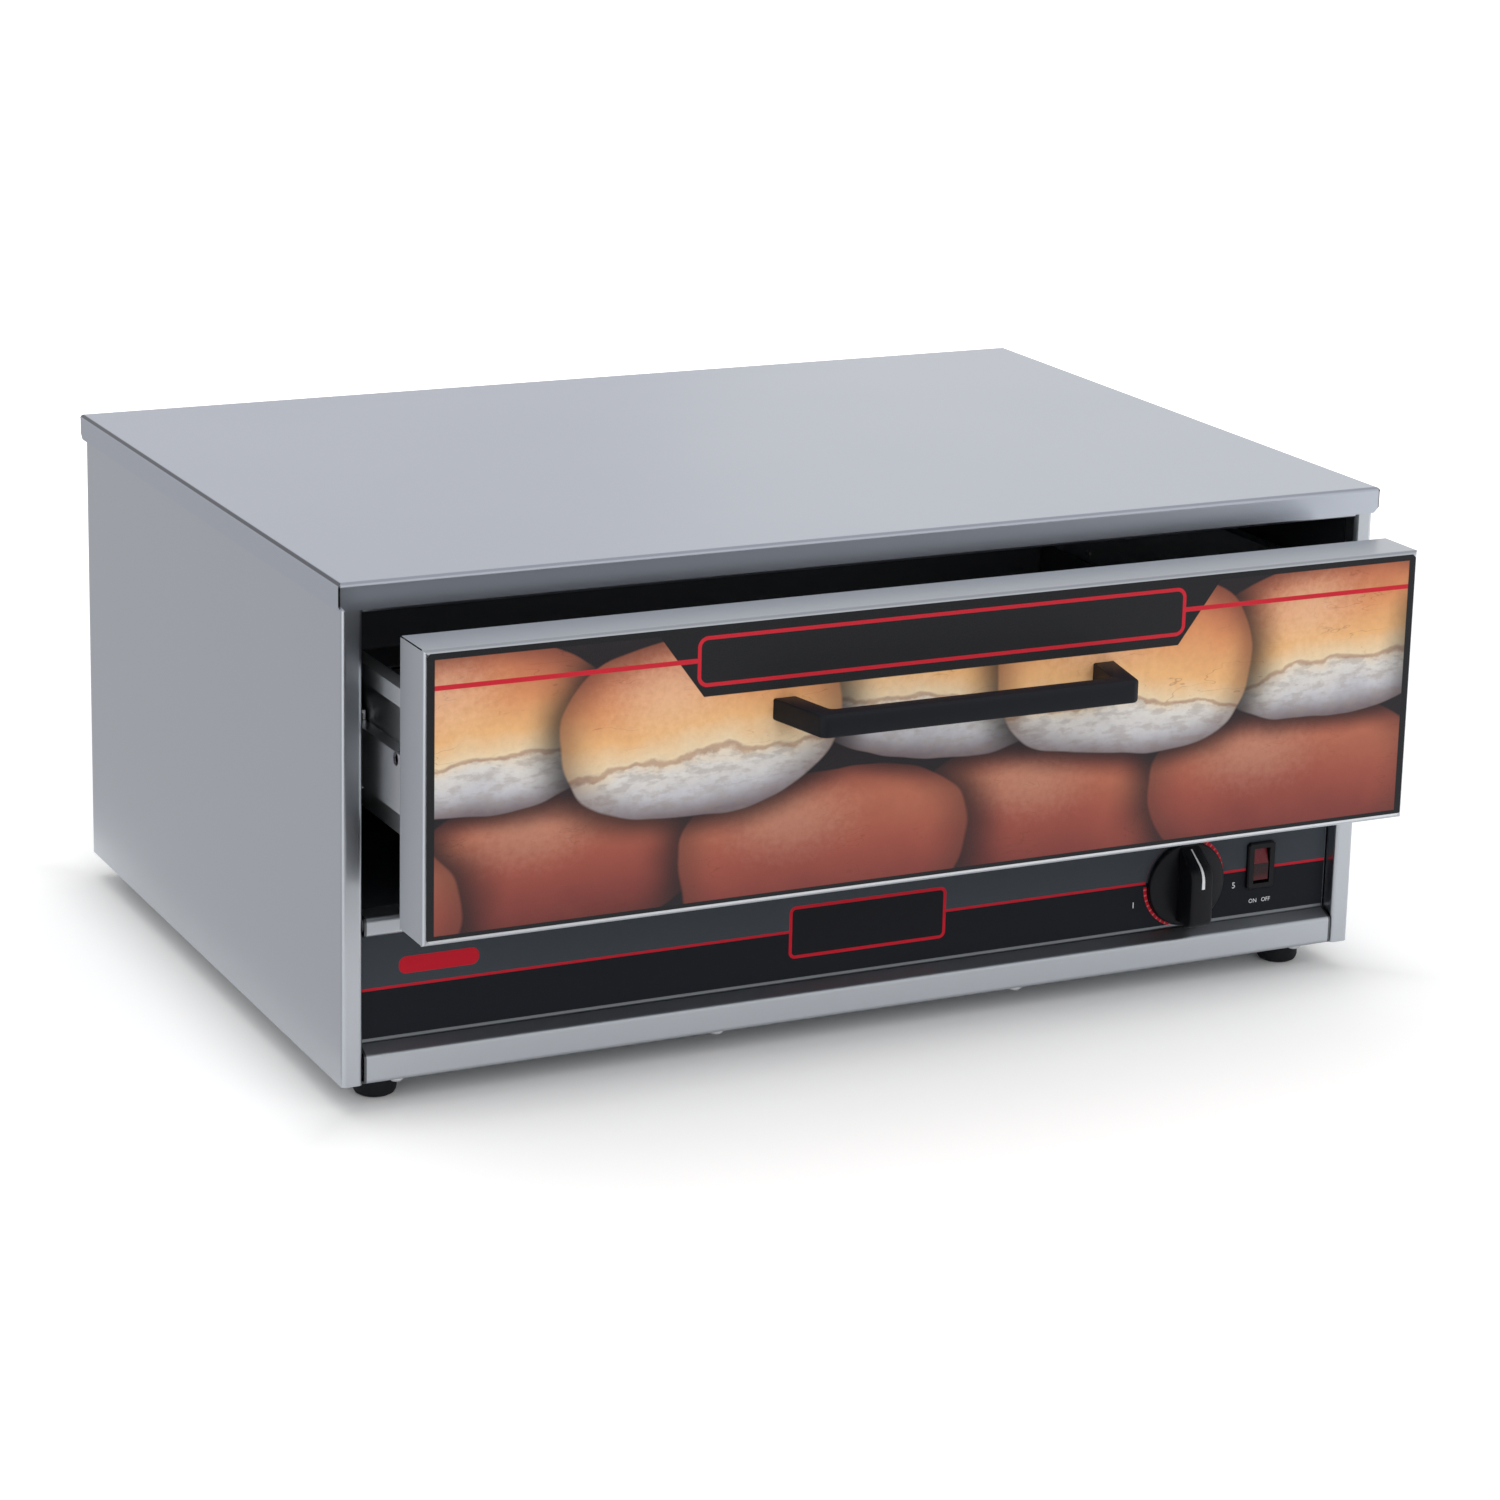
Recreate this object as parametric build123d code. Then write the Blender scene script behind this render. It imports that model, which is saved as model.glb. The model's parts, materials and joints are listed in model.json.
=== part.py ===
from build123d import *
import os

# Counter-top bun warmer: a folded steel cabinet with one heated pull-out drawer.
# Millimetres. The pieces are drawn with x across, y back from the cabinet's front face
# and z up from the lower edge of the side panels, and moved to the reference point,
# the middle of the whole footprint at foot level, when they are written.

# Cabinet
cabinet_width = 516.0
cabinet_depth = 358.0
cabinet_height = 225.0
sheet = 1.0
liner_sheet = 0.8
bend = 2.0
fold_clearance = 0.6
lid_overhang = 2.0
lid_skirt = 12.2
corner_seam = 0.6
skirt_chamfer = 3.0
skirt_cutter = (40.0, 20.0)
post_width = 9.6
post_return = 8.0
side_flange = 9.0
rear_flange = 12.0
floor_flange = 16.0
header_show = 2.0
header_flange = 14.0

# Fascia, from the bottom up
fascia_gap = 0.6
rail_height = 13.0
ledge_rise = 3.8
panel_recess = 8.0
panel_height = 50.0
sill_height = 8.6
lip_depth = 11.0
sill_flange = 14.0
overlay_thickness = 0.3

# Liners of the heated compartment
liner_start = 9.0
rear_space = 13.0
liner_flange = 6.0
rear_liner_flange = 10.0
deck_flange = 10.0

# Drawer
rest_opening = 58.0
front_side_gap = 4.3
front_top_gap = 2.2
front_bottom_gap = 5.4
front_depth = 26.0
print_margin = 1.5
print_thickness = 0.3
print_corner = 1.5
drawer_floor_rise = 35.2
drawer_height = 69.0
drawer_rear_clearance = 15.0
drawer_flange = 20.0
drawer_tab = 14.0
drawer_screw_inset = (8.0, 14.0)
rim_drop = 8.0
rim_width = 6.4
tray_sheet = 0.8
tray_wall = 22.0
tray_clearance = 0.6
tray_rear_clearance = 3.6
tray_slot = (70.0, 6.0)
tray_slot_pitch = (108.0, 55.0)
tray_slot_margin = (20.0, 16.0)

# Telescopic slides: three nested members, measured from the liner towards the drawer
slide_thickness = 12.7
slide_sheet = 1.2
slide_rise = 27.5
slide_start = 30.0
slide_screw_inset = 22.0
inner_screw_inset = 50.0
notch_radius = 3.2
notch_inset = (5.0, 2.9)
middle_setback = 24.0
inner_start = 28.0
inner_height = 26.0
race_gap = 3.2
running_gap = 0.3
outer_reach = 10.5
middle_start = 2.2
middle_reach = 11.6
inner_web = 6.0

# Handle
handle_base = 168.4
handle_front = 155.0
handle_reach = 34.0
handle_bar = 10.0
handle_corner = 4.0
handle_edge = 0.9
handle_leg_widening = 0.6
handle_drop = 41.1
handle_screw_spacing = 158.0

# Control knob and thermostat
knob_inset = 80.0
knob_rise = 21.5
knob_diameter = 41.0
knob_skirt = 3.0
knob_height = 17.4
knob_gap = 0.8
knob_edge = 0.8
knob_hollow = 2.8
knob_side_count = 40
grip_width = 12.0
grip_length = 34.6
grip_corner = 4.0
shaft_diameter = 6.0
shaft_clearance = 0.05
bushing_diameter = 9.5
bushing_reach = 3.2
thermostat_size = (38.0, 34.0, 32.0)
bulb_diameter = 6.0
bulb_length = 90.0
bulb_inset = 23.4
bulb_rise = 20.6
bulb_setback = 26.0
bulb_saddle = (10.0, 6.0, 1.5)
bulb_saddle_shares = (0.22, 0.78)
capillary_diameter = 2.0
capillary_bend = 9.0
capillary_offset = 8.0

# Power switch
switch_inset = 37.9
switch_rise = 25.2
bezel_width = 15.0
bezel_height = 23.0
bezel_proud = 2.2
bezel_corner = 1.2
bezel_edge = 0.6
switch_tab = (4.8, 8.0, 0.8)
switch_tab_pitch = 8.0
switch_body = (12.4, 20.0, 22.0)
switch_well = (8.8, 17.4, 7.0)
rocker_width = 8.0
rocker_height = 15.4
rocker_angle = 8.0
rocker_pivot_depth = 4.5
rocker_crown = 4.1
rocker_fall = 1.3
rocker_back = 0.9
rocker_pin = 2.0
rocker_pin_reach = 0.9
rocker_pin_clearance = 0.05

# Heating element
element_diameter = 8.0
element_rise = 17.6
element_rows = 4
element_front_space = 62.0
element_rear_space = 49.0
element_end_space = (54.4, 69.4)
element_end_bend = 14.0
element_loop_shoulder = 6.0
element_tail_inset = 45.4
element_tail_drop = 20.4
element_hole_margin = 3.0
strap_margin = 2.5
strap_foot = 9.0
strap_inset = 72.5
tube_clearance = 0.2
bend_chord_count = 3

# Feet, vents and fasteners
foot_height = 13.3
foot_radius = 9.8
foot_edge = 2.0
foot_side_count = 24
foot_counterbore = 5.0
foot_inset = (24.0, 24.0)
foot_screw_seat = 4.5
vent_slot = (30.0, 4.0)
vent_pitch = (42.0, 16.0)
vent_columns = 6
vent_rows = 3
rear_vent_slot = (32.0, 3.0)
rear_vent_pitch = (44.0, 8.0)
rear_vent_columns = 6
rear_vent_rows = 3
rear_vent_height = 44.0
screw_clearance = 0.2
slide_hole = 2.0
handle_hole = 2.4
handle_thread_depth = 12.6
nut_radius = 7.0
nut_height = 2.4
nut_clearance = 1.2
shaft_tip = 14.0
shaft_root = 24.0
shaft_flat = 1.6
capillary_rise_y = 66.0
terminal_block_size = (44.0, 20.0, 16.0)
terminal_block_inset = (108.0, 36.0)
terminal_well = (3.2, 5.0)
terminal_pitch = (14.0, 10.0)
terminal_columns = 3
gland_inset = 62.0
gland_height = 38.0
gland_radius = 11.0
gland_wall = 3.5
gland_flange = (2.5, 2.0)
gland_neck = 4.0
gland_side_count = 20
rear_screw_rows = 4
rear_screw_inset = 6.0
rear_screw_low = 24.0
rear_screw_top_space = 21.0
floor_screw_inset = 108.0
floor_screw_z = 11.0
lid_screw_inset = 58.0
lip_screw_inset = 17.4
lip_screw_y = 5.6
cut_through = 12.0

# The sheet-metal screw used all over the cabinet, and the screws of the slides and the handle
small_screw = dict(head_radius=3.4, head_height=1.8, shank_radius=1.9, shank_length=7.0)
slide_screw = dict(head_radius=3.2, head_height=0.7, shank_radius=1.8)
handle_screw = dict(head_radius=4.0, head_height=2.4, shank_radius=1.9, shank_length=12.0)
screw_hole = small_screw["shank_radius"] + screw_clearance

# Worked out from the sizes above
half_width = cabinet_width / 2
opening_half = half_width - post_width
liner_face = opening_half + sheet
lid_underside = cabinet_height - sheet
header_bottom = cabinet_height - lid_skirt - header_show
rear_liner_y = cabinet_depth - rear_space
panel_bottom = rail_height + ledge_rise
sill_bottom = panel_bottom + panel_height
sill_top = sill_bottom + sill_height
deck_top = sill_top - sheet
drawer_side_face = liner_face - slide_thickness
race_lip = race_gap - running_gap
front_width = 2 * (opening_half - front_side_gap)
front_base = sill_top + front_bottom_gap
front_height = header_bottom - front_top_gap - front_base
drawer_length = rear_liner_y - drawer_rear_clearance
drawer_floor = front_base + drawer_floor_rise
drawer_top = drawer_floor + drawer_height
slide_centre = drawer_floor + slide_rise
slide_length = drawer_length - slide_start
handle_centre = front_base + front_height - handle_drop
panel_front = panel_recess - overlay_thickness
knob_x = opening_half - knob_inset
knob_z = panel_bottom + knob_rise
switch_x = opening_half - switch_inset
switch_z = panel_bottom + switch_rise
bulb_x = liner_face - bulb_inset
bulb_z = deck_top + bulb_rise
element_z = deck_top + element_rise
element_left = element_end_space[0] - liner_face
element_right = liner_face - element_end_space[1]
element_tail_x = liner_face - element_tail_inset
element_tail_z = deck_top - element_tail_drop
element_span = rear_liner_y - element_rear_space - element_front_space
element_pitch = element_span / (element_rows - 1)
element_row_places = [element_front_space + n * element_pitch for n in range(element_rows)]
strap_places = (element_left + strap_inset, element_right - strap_inset)
terminal_block_place = (half_width - terminal_block_inset[0], cabinet_depth - terminal_block_inset[1])
gland_x = half_width - gland_inset
handle_tip = rest_opening + print_thickness + handle_reach
rear_panel_back = cabinet_depth + sheet
rear_reach = cabinet_depth + lid_overhang + small_screw["head_height"]
face_y = -(handle_tip + rear_reach) / 2 + handle_tip
to_reference = Location((0, face_y, foot_height))
drawer_at_rest = Location((0, -rest_opening, 0))
middle_at_rest = Location((0, -rest_opening / 2, 0))
handle_screw_x = (-handle_screw_spacing / 2, handle_screw_spacing / 2)


def box(x, y, z):
    """A box between two limits along each axis."""
    size = Box(x[1] - x[0], y[1] - y[0], z[1] - z[0])
    return Pos((x[0] + x[1]) / 2, (y[0] + y[1]) / 2, (z[0] + z[1]) / 2) * size


def folded(plane, points, thickness, length):
    """A sheet folded along a middle line, drawn in a plane and extruded both ways from it."""
    path = FilletPolyline(*points, radius=bend - thickness / 2)
    return extrude(plane * trace(path, thickness), length / 2, both=True)


def folded_square(plane, points, thickness, length):
    """The same for a sheet that is out of sight, whose folds can be plain square ones."""
    return extrude(plane * trace(Polyline(*points), thickness), length / 2, both=True)


def folded_pan(width, length, depth, thickness, chamfer_size):
    """A pan with its face up at z = 0, skirts turned down and open seams at the corners."""
    outer = Pos(0, 0, -depth / 2) * Box(width, length, depth)
    outer = fillet(outer.faces().sort_by(Axis.Z)[-1].edges(), bend)
    inner = Pos(0, 0, -depth / 2 - thickness) * Box(width - 2 * thickness, length - 2 * thickness, depth)
    inner = fillet(inner.faces().sort_by(Axis.Z)[-1].edges(), bend - thickness)
    pan = outer - inner
    seam = Pos(0, 0, -depth / 2 - bend) * Box(corner_seam, 6 * thickness, depth)
    for side in (-1, 1):
        for end in (-1, 1):
            corner = Pos(side * width / 2, end * length / 2, 0)
            pan -= corner * Rot(0, 0, -45 * side * end) * seam
            if chamfer_size > 0:
                cut_at = (side * width / 2, end * (length / 2 - chamfer_size), -depth)
                cut = Plane(origin=cut_at, z_dir=(side, end, -1))
                pan -= cut * extrude(Rectangle(skirt_cutter[0], skirt_cutter[0]), skirt_cutter[1])
    return pan


def bent_bar(section, points, radius):
    """A bar swept along straight runs, each bend drawn as a few straight chords."""
    rounded = FilletPolyline(*points, radius=radius)
    path = [points[0]]
    for edge in rounded.edges():
        steps = 1 if edge.geom_type == GeomType.LINE else bend_chord_count
        path += [edge @ (n / steps) for n in range(1, steps + 1)]
    return sweep(section, Polyline(*path), transition=Transition.RIGHT)


def screw(head_radius, head_height, shank_radius, shank_length):
    """A pan-head screw: tapered head above z = 0, shank below it, both with few flats."""
    head = extrude(RegularPolygon(head_radius, 8), head_height, taper=20)
    shank = extrude(RegularPolygon(shank_radius, 6), -shank_length)
    return head + shank


def drill(radius):
    """A cutter for a screw hole along z. A head covers the hole, so eight flats will do."""
    return extrude(RegularPolygon(radius, 8), cut_through / 2, both=True)


def group(pieces):
    """Separate solids kept together as one node."""
    return Compound([solid for piece in pieces for solid in piece.solids()])


def both_sides(right):
    """The left-hand mirror image of a piece, and the right-hand piece itself."""
    return mirror(right, about=Plane.YZ), right


def spread(first, last, count):
    """Evenly spaced places from the first to the last."""
    return [first + (last - first) * n / (count - 1) for n in range(count)]


# Where the cabinet's screws go
rear_screw_x = half_width - rear_screw_inset
rear_screw_heights = spread(rear_screw_low, cabinet_height - rear_screw_top_space, rear_screw_rows)
floor_screw_x = spread(floor_screw_inset - half_width, half_width - floor_screw_inset, 3)
lid_screw_x = spread(lid_screw_inset - half_width, half_width - lid_screw_inset, 3)
lid_screw_z = cabinet_height - lid_skirt / 2
lip_screw_x = spread(lip_screw_inset - opening_half, opening_half - lip_screw_inset, 4)
foot_x = half_width - foot_inset[0]
foot_rows = (foot_inset[1], cabinet_depth - foot_inset[1])


def rear_facing(x, z):
    """Where a screw lies that is driven forward through the rear panel."""
    return Location((x, rear_panel_back, z), (-90, 0, 0))


def rear_panel_screw_places():
    sides = [rear_facing(s * rear_screw_x, z) for s in (-1, 1) for z in rear_screw_heights]
    floor = [rear_facing(x, floor_screw_z) for x in floor_screw_x]
    return sides + floor


def foot_places():
    return [(s * foot_x, y) for s in (-1, 1) for y in foot_rows]


def make_lid():
    pan = folded_pan(
        cabinet_width + 2 * lid_overhang, cabinet_depth + 2 * lid_overhang, lid_skirt, sheet, skirt_chamfer
    )
    lid = Pos(0, cabinet_depth / 2, cabinet_height) * pan
    for x in lid_screw_x:
        lid -= rear_facing(x, lid_screw_z) * drill(screw_hole)
    return lid


def make_lid_screws():
    head = screw(**small_screw)
    lid_back = cabinet_depth + lid_overhang
    return group(Location((x, lid_back, lid_screw_z), (-90, 0, 0)) * head for x in lid_screw_x)


def make_side_panel():
    """The right side: outer wall, front post with its return, rear flange, top and bottom flanges."""
    wall_x = half_width - sheet / 2
    post_x = opening_half + sheet / 2
    rear_y = cabinet_depth - sheet / 2
    plan = [
        (post_x, post_return),
        (post_x, sheet / 2),
        (wall_x, sheet / 2),
        (wall_x, rear_y),
        (half_width - rear_flange, rear_y),
    ]
    panel = folded(Plane.XY.offset(lid_underside / 2), plan, sheet, lid_underside)
    flange_x = (half_width - side_flange, half_width - sheet)
    flange_y = (post_return + sheet, cabinet_depth - 2 * sheet)
    panel += box(flange_x, flange_y, (0, sheet))
    panel += box(flange_x, flange_y, (lid_underside - sheet, lid_underside))
    for z in rear_screw_heights:
        panel -= rear_facing(rear_screw_x, z) * drill(screw_hole)
    return panel


def make_header():
    """The channel across the top of the opening, behind the lid's front skirt."""
    low = header_bottom + sheet / 2
    high = lid_underside - sheet / 2
    points = [(header_flange, low), (sheet / 2, low), (sheet / 2, high), (header_flange, high)]
    return folded(Plane.YZ, points, sheet, 2 * opening_half)


def make_fascia():
    """Rail, sloped ledge, recessed control panel and sill, folded from one sheet."""
    mid = sheet / 2
    panel_y = panel_recess + mid
    points = [
        (lip_depth, mid),
        (mid, mid),
        (mid, rail_height - mid),
        (panel_y, panel_bottom - mid),
        (panel_y, sill_bottom + mid),
        (mid, sill_bottom + mid),
        (mid, sill_top - mid),
        (sill_flange, sill_top - mid),
    ]
    fascia = folded(Plane.YZ, points, sheet, 2 * (opening_half - fascia_gap))
    fascia -= panel_cutouts(0)
    for x in lip_screw_x:
        fascia -= Pos(x, lip_screw_y, 0) * drill(screw_hole)
    return fascia


def panel_cutouts(margin):
    """The bushing hole and the switch window, through the panel and the film on it."""
    hole = knob_axis() * drill(bushing_diameter / 2 + fold_clearance + margin)
    window_x = switch_body[0] / 2 + screw_clearance + margin
    window_z = switch_body[1] / 2 + screw_clearance + margin
    window = Pos(switch_x, panel_recess, switch_z) * Box(2 * window_x, cut_through, 2 * window_z)
    return hole + window


def make_control_overlay():
    """The printed film, a little smaller than the flat between the folds."""
    half = opening_half - fascia_gap - fold_clearance
    film_z = (panel_bottom + 2 * fold_clearance, sill_bottom - sheet - fold_clearance)
    film = box((-half, half), (panel_front, panel_recess), film_z)
    return film - panel_cutouts(overlay_thickness)


def make_bottom_panel():
    """The floor with upturned front and rear flanges, feet holes and vent slots."""
    floor_z = 1.5 * sheet
    back = cabinet_depth - sheet / 2
    front = 1.5 * sheet
    points = [
        (front, rail_height - 2 * sheet),
        (front, floor_z),
        (back, floor_z),
        (back, floor_z + floor_flange),
    ]
    floor = folded(Plane.YZ, points, sheet, 2 * (half_width - rear_flange - fold_clearance))
    wings_y = (post_return + bend, cabinet_depth - bend)
    floor += box((sheet - half_width, half_width - sheet), wings_y, (sheet, 2 * sheet))
    for x, y in foot_places():
        floor -= Pos(x, y, 0) * drill(screw_hole)
    for x in lip_screw_x:
        floor -= Pos(x, lip_screw_y, 0) * drill(screw_hole)
    for x in floor_screw_x:
        floor -= rear_facing(x, floor_screw_z) * drill(screw_hole)
    vents = GridLocations(vent_pitch[0], vent_pitch[1], vent_columns, vent_rows)
    for spot in vents:
        floor -= Pos(0, cabinet_depth / 2, 0) * spot * Box(vent_slot[0], vent_slot[1], cut_through)
    return floor


def make_rear_panel():
    """The screwed-on back, with vent slots low down and the hole of the cord gland."""
    panel = box(
        (sheet - half_width, half_width - sheet),
        (cabinet_depth, rear_panel_back),
        (sheet, lid_underside - sheet),
    )
    for place in rear_panel_screw_places():
        panel -= place * drill(screw_hole)
    for x in lid_screw_x:
        panel -= rear_facing(x, lid_screw_z) * drill(screw_hole)
    slot = Box(rear_vent_slot[0], cut_through, rear_vent_slot[1])
    for spot in GridLocations(rear_vent_pitch[0], rear_vent_pitch[1], rear_vent_columns, rear_vent_rows):
        panel -= Pos(spot.position.X, cabinet_depth, rear_vent_height + spot.position.Y) * slot
    hole = RegularPolygon(gland_radius + screw_clearance, gland_side_count)
    return panel - rear_facing(gland_x, gland_height) * extrude(hole, cut_through, both=True)


def make_rear_panel_screws():
    head = screw(**small_screw)
    return group(place * head for place in rear_panel_screw_places())


def make_cord_gland():
    """A snap-in ring that guards the cord's hole; no cord is shown, so none is modelled."""
    flange_width, flange_height = gland_flange
    neck = extrude(RegularPolygon(gland_radius, gland_side_count), -gland_neck)
    flange = extrude(RegularPolygon(gland_radius + flange_width, gland_side_count), flange_height)
    bore = extrude(RegularPolygon(gland_radius - gland_wall, gland_side_count), cut_through, both=True)
    return rear_facing(gland_x, gland_height) * (neck + flange - bore)


def make_side_liner():
    """The right wall of the heated compartment, from the floor to the side's top flange."""
    half = liner_sheet / 2
    low = 2 * sheet + half
    high = lid_underside - sheet - half
    outside = liner_face + liner_flange
    points = [(outside, low), (liner_face + half, low), (liner_face + half, high), (outside, high)]
    middle = Plane(origin=(0, (liner_start + rear_liner_y) / 2, 0), x_dir=(1, 0, 0), z_dir=(0, -1, 0))
    liner = folded_square(middle, points, liner_sheet, rear_liner_y - liner_start)
    for y in slide_screw_rows():
        liner -= side_facing(liner_face, y) * drill(slide_hole)
    return liner


def make_deck():
    """The heat deck, turned down along both sides."""
    level = deck_top - sheet / 2
    edge = liner_face - sheet / 2
    low = deck_top - deck_flange
    points = [(-edge, low), (-edge, level), (edge, level), (edge, low)]
    front = post_return + fold_clearance
    middle = Plane(origin=(0, (front + rear_liner_y) / 2, 0), x_dir=(1, 0, 0), z_dir=(0, -1, 0))
    deck = folded_square(middle, points, sheet, rear_liner_y - front)
    collar_hole = extrude(tube_section(element_hole_margin), cut_through / 2, both=True)
    for y in (element_row_places[0], element_row_places[-1]):
        deck -= Pos(element_tail_x, y, deck_top) * collar_hole
    return deck - Pos(bulb_x, capillary_rise_y, deck_top) * drill(capillary_diameter)


def make_rear_liner():
    half = liner_sheet / 2
    low = deck_top + half
    high = header_bottom + sheet - half
    middle = rear_liner_y - half
    points = [
        (middle + rear_liner_flange, high),
        (middle, high),
        (middle, low),
        (middle - rear_liner_flange, low),
    ]
    return folded_square(Plane.YZ, points, liner_sheet, 2 * liner_face)


def make_top_liner():
    """The roof of the heated compartment, lying on the flanges of the header and the rear liner."""
    level = header_bottom + sheet
    depth = (liner_start, rear_liner_y + rear_liner_flange - sheet)
    return box((-liner_face, liner_face), depth, (level, level + liner_sheet))


def make_foot():
    """A rubber foot with a chamfered sole and a deep counterbore for its screw."""
    height = foot_height + sheet
    foot = Pos(0, 0, sheet) * extrude(RegularPolygon(foot_radius, foot_side_count), -height)
    foot = chamfer(foot.faces().sort_by(Axis.Z)[0].edges(), foot_edge)
    counterbore = extrude(RegularPolygon(foot_counterbore, 12), foot_screw_seat - foot_height)
    foot -= Pos(0, 0, -foot_screw_seat) * counterbore
    return foot - drill(screw_hole)


def make_foot_screws():
    turned = Rot(180, 0, 0) * screw(**dict(small_screw, shank_length=foot_screw_seat + 6 * sheet))
    return group(Pos(x, y, -foot_screw_seat) * turned for x, y in foot_places())


def make_lip_screws():
    turned = Rot(180, 0, 0) * screw(**small_screw)
    return group(Pos(x, lip_screw_y, 0) * turned for x in lip_screw_x)


def make_element():
    """One tubular element in a serpentine on the deck, its ends turned down through it."""
    rows = element_row_places
    points = [(element_tail_x, rows[0], element_tail_z), (element_tail_x, rows[0], element_z)]
    for n, y in enumerate(rows):
        near = element_left if n % 2 == 0 else element_right
        points.append((near, y, element_z))
        if n < element_rows - 1:
            points.append((near, rows[n + 1], element_z))
    points[-1] = (element_tail_x, rows[-1], element_z)
    points.append((element_tail_x, rows[-1], element_tail_z))
    loop_bend = element_pitch / 2 - element_loop_shoulder
    radii = [element_end_bend] + [loop_bend] * (2 * element_rows - 2) + [element_end_bend]
    section = Plane(origin=points[0], z_dir=(0, 0, 1)) * tube_section(0)
    return bent_bar(section, points, radii)


def tube_section(clearance):
    """The element's section, with eight flats square to the axes, or the hole that it lies in."""
    return Rot(0, 0, 180 / 8) * RegularPolygon(element_diameter / 2 + clearance, 8)


def make_element_clips():
    """Folded straps that hold the element above the deck."""
    half = element_diameter / 2 + strap_margin
    strap = box((-sheet / 2, sheet / 2), (-half, half), (deck_top, element_z + half))
    strap += box((-sheet / 2, strap_foot), (-half, half), (deck_top, deck_top + sheet))
    hole = extrude(tube_section(tube_clearance), sheet, both=True)
    strap -= Location((0, 0, element_z), (0, 90, 0)) * hole
    return group(Pos(x, y, 0) * strap for x in strap_places for y in element_row_places)


def make_element_bushings():
    """Flanged eight-sided collars that carry the element's ends through the deck."""
    margin = element_hole_margin - tube_clearance
    neck = extrude(tube_section(margin), -deck_flange + 2 * sheet)
    flange = extrude(tube_section(2 * margin), bend)
    collar = neck + flange - extrude(tube_section(tube_clearance), cut_through, both=True)
    ends = (element_row_places[0], element_row_places[-1])
    return group(Pos(element_tail_x, y, deck_top) * collar for y in ends)


def make_thermostat_body():
    """The regulator behind the panel, with its threaded bushing and nut through it."""
    wide, tall, deep = thermostat_size
    back = panel_recess + sheet
    body = Pos(knob_x, back + deep / 2, knob_z) * Box(wide, deep, tall)
    body = chamfer(body.edges().filter_by(Axis.Y), 2 * sheet)
    length = back - panel_front + bushing_reach
    bushing = Pos(0, 0, bushing_reach) * extrude(RegularPolygon(bushing_diameter / 2, 16), -length)
    nut = extrude(RegularPolygon(nut_radius, 6), nut_height)
    body += knob_axis() * (bushing + nut)
    bore_end = shaft_root + fold_clearance
    bore = Cylinder(shaft_diameter / 2 + shaft_clearance, bore_end + shaft_tip)
    return body - knob_axis() * Pos(0, 0, (shaft_tip - bore_end) / 2) * bore


def make_thermostat_shaft():
    """A round shaft with a flat where the knob grips it."""
    shaft = Pos(0, 0, (shaft_tip - shaft_root) / 2) * Cylinder(shaft_diameter / 2, shaft_tip + shaft_root)
    return knob_axis() * (shaft - shaft_flat_side(0))


def shaft_flat_side(clearance):
    """What the flat takes off the shaft, beyond the bushing."""
    reach = shaft_diameter
    start = bushing_reach + sheet + clearance
    return box((-reach, reach), (shaft_flat + clearance, reach), (start, shaft_tip + reach))


def knob_axis():
    """Local z points out of the panel, local y points up."""
    return Plane(origin=(knob_x, panel_front, knob_z), x_dir=(1, 0, 0), z_dir=(0, -1, 0)).location


def make_knob():
    """A skirted range knob: a disc, a hub and a grip bar with rounded ends, hollow behind."""
    skirt = extrude(RegularPolygon(knob_diameter / 2, knob_side_count), knob_skirt)
    skirt = chamfer(skirt.faces().sort_by(Axis.Z)[-1].edges(), knob_edge)
    grip = extrude(RectangleRounded(grip_width, grip_length, grip_corner), knob_height - knob_gap)
    grip = chamfer(grip.faces().sort_by(Axis.Z)[-1].edges(), knob_edge)
    hollow = extrude(RegularPolygon(nut_radius + nut_clearance, 16), knob_hollow)
    body = Pos(0, 0, knob_gap) * (skirt + grip - hollow)
    depth = shaft_tip + fold_clearance
    bore = Pos(0, 0, depth / 2) * Cylinder(shaft_diameter / 2 + shaft_clearance, depth)
    return knob_axis() * (body - (bore - shaft_flat_side(shaft_clearance)))


def capillary_points():
    back = panel_recess + sheet + thermostat_size[2]
    rise = capillary_rise_y
    level = knob_z + capillary_offset
    return [
        (knob_x, back, level),
        (knob_x, rise, level),
        (bulb_x, rise, level),
        (bulb_x, rise, bulb_z),
        (bulb_x, rise + bulb_setback, bulb_z),
    ]


def make_capillary():
    """The thin sensing tube from the regulator up through the deck to the bulb."""
    points = capillary_points()
    section = Plane(origin=points[0], z_dir=(0, 1, 0)) * RegularPolygon(capillary_diameter / 2, 6)
    return bent_bar(section, points, capillary_bend)


def make_bulb():
    """The sensing bulb, a closed copper tube in line with the end of the capillary."""
    along = Plane(origin=capillary_points()[-1], z_dir=(0, 1, 0))
    return extrude(along * RegularPolygon(bulb_diameter / 2, 12), bulb_length)


def make_bulb_clips():
    """Two saddles that carry the bulb on the deck."""
    wide, thick, margin = bulb_saddle
    top = bulb_z + bulb_diameter / 2 + margin
    saddle = box((-wide / 2, wide / 2), (-thick / 2, thick / 2), (deck_top, top))
    hole = extrude(RegularPolygon(bulb_diameter / 2 + tube_clearance, 12), thick, both=True)
    saddle -= Plane(origin=(0, 0, bulb_z), z_dir=(0, 1, 0)).location * hole
    first = capillary_rise_y + bulb_setback
    return group(Pos(bulb_x, first + bulb_length * share, 0) * saddle for share in bulb_saddle_shares)


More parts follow.
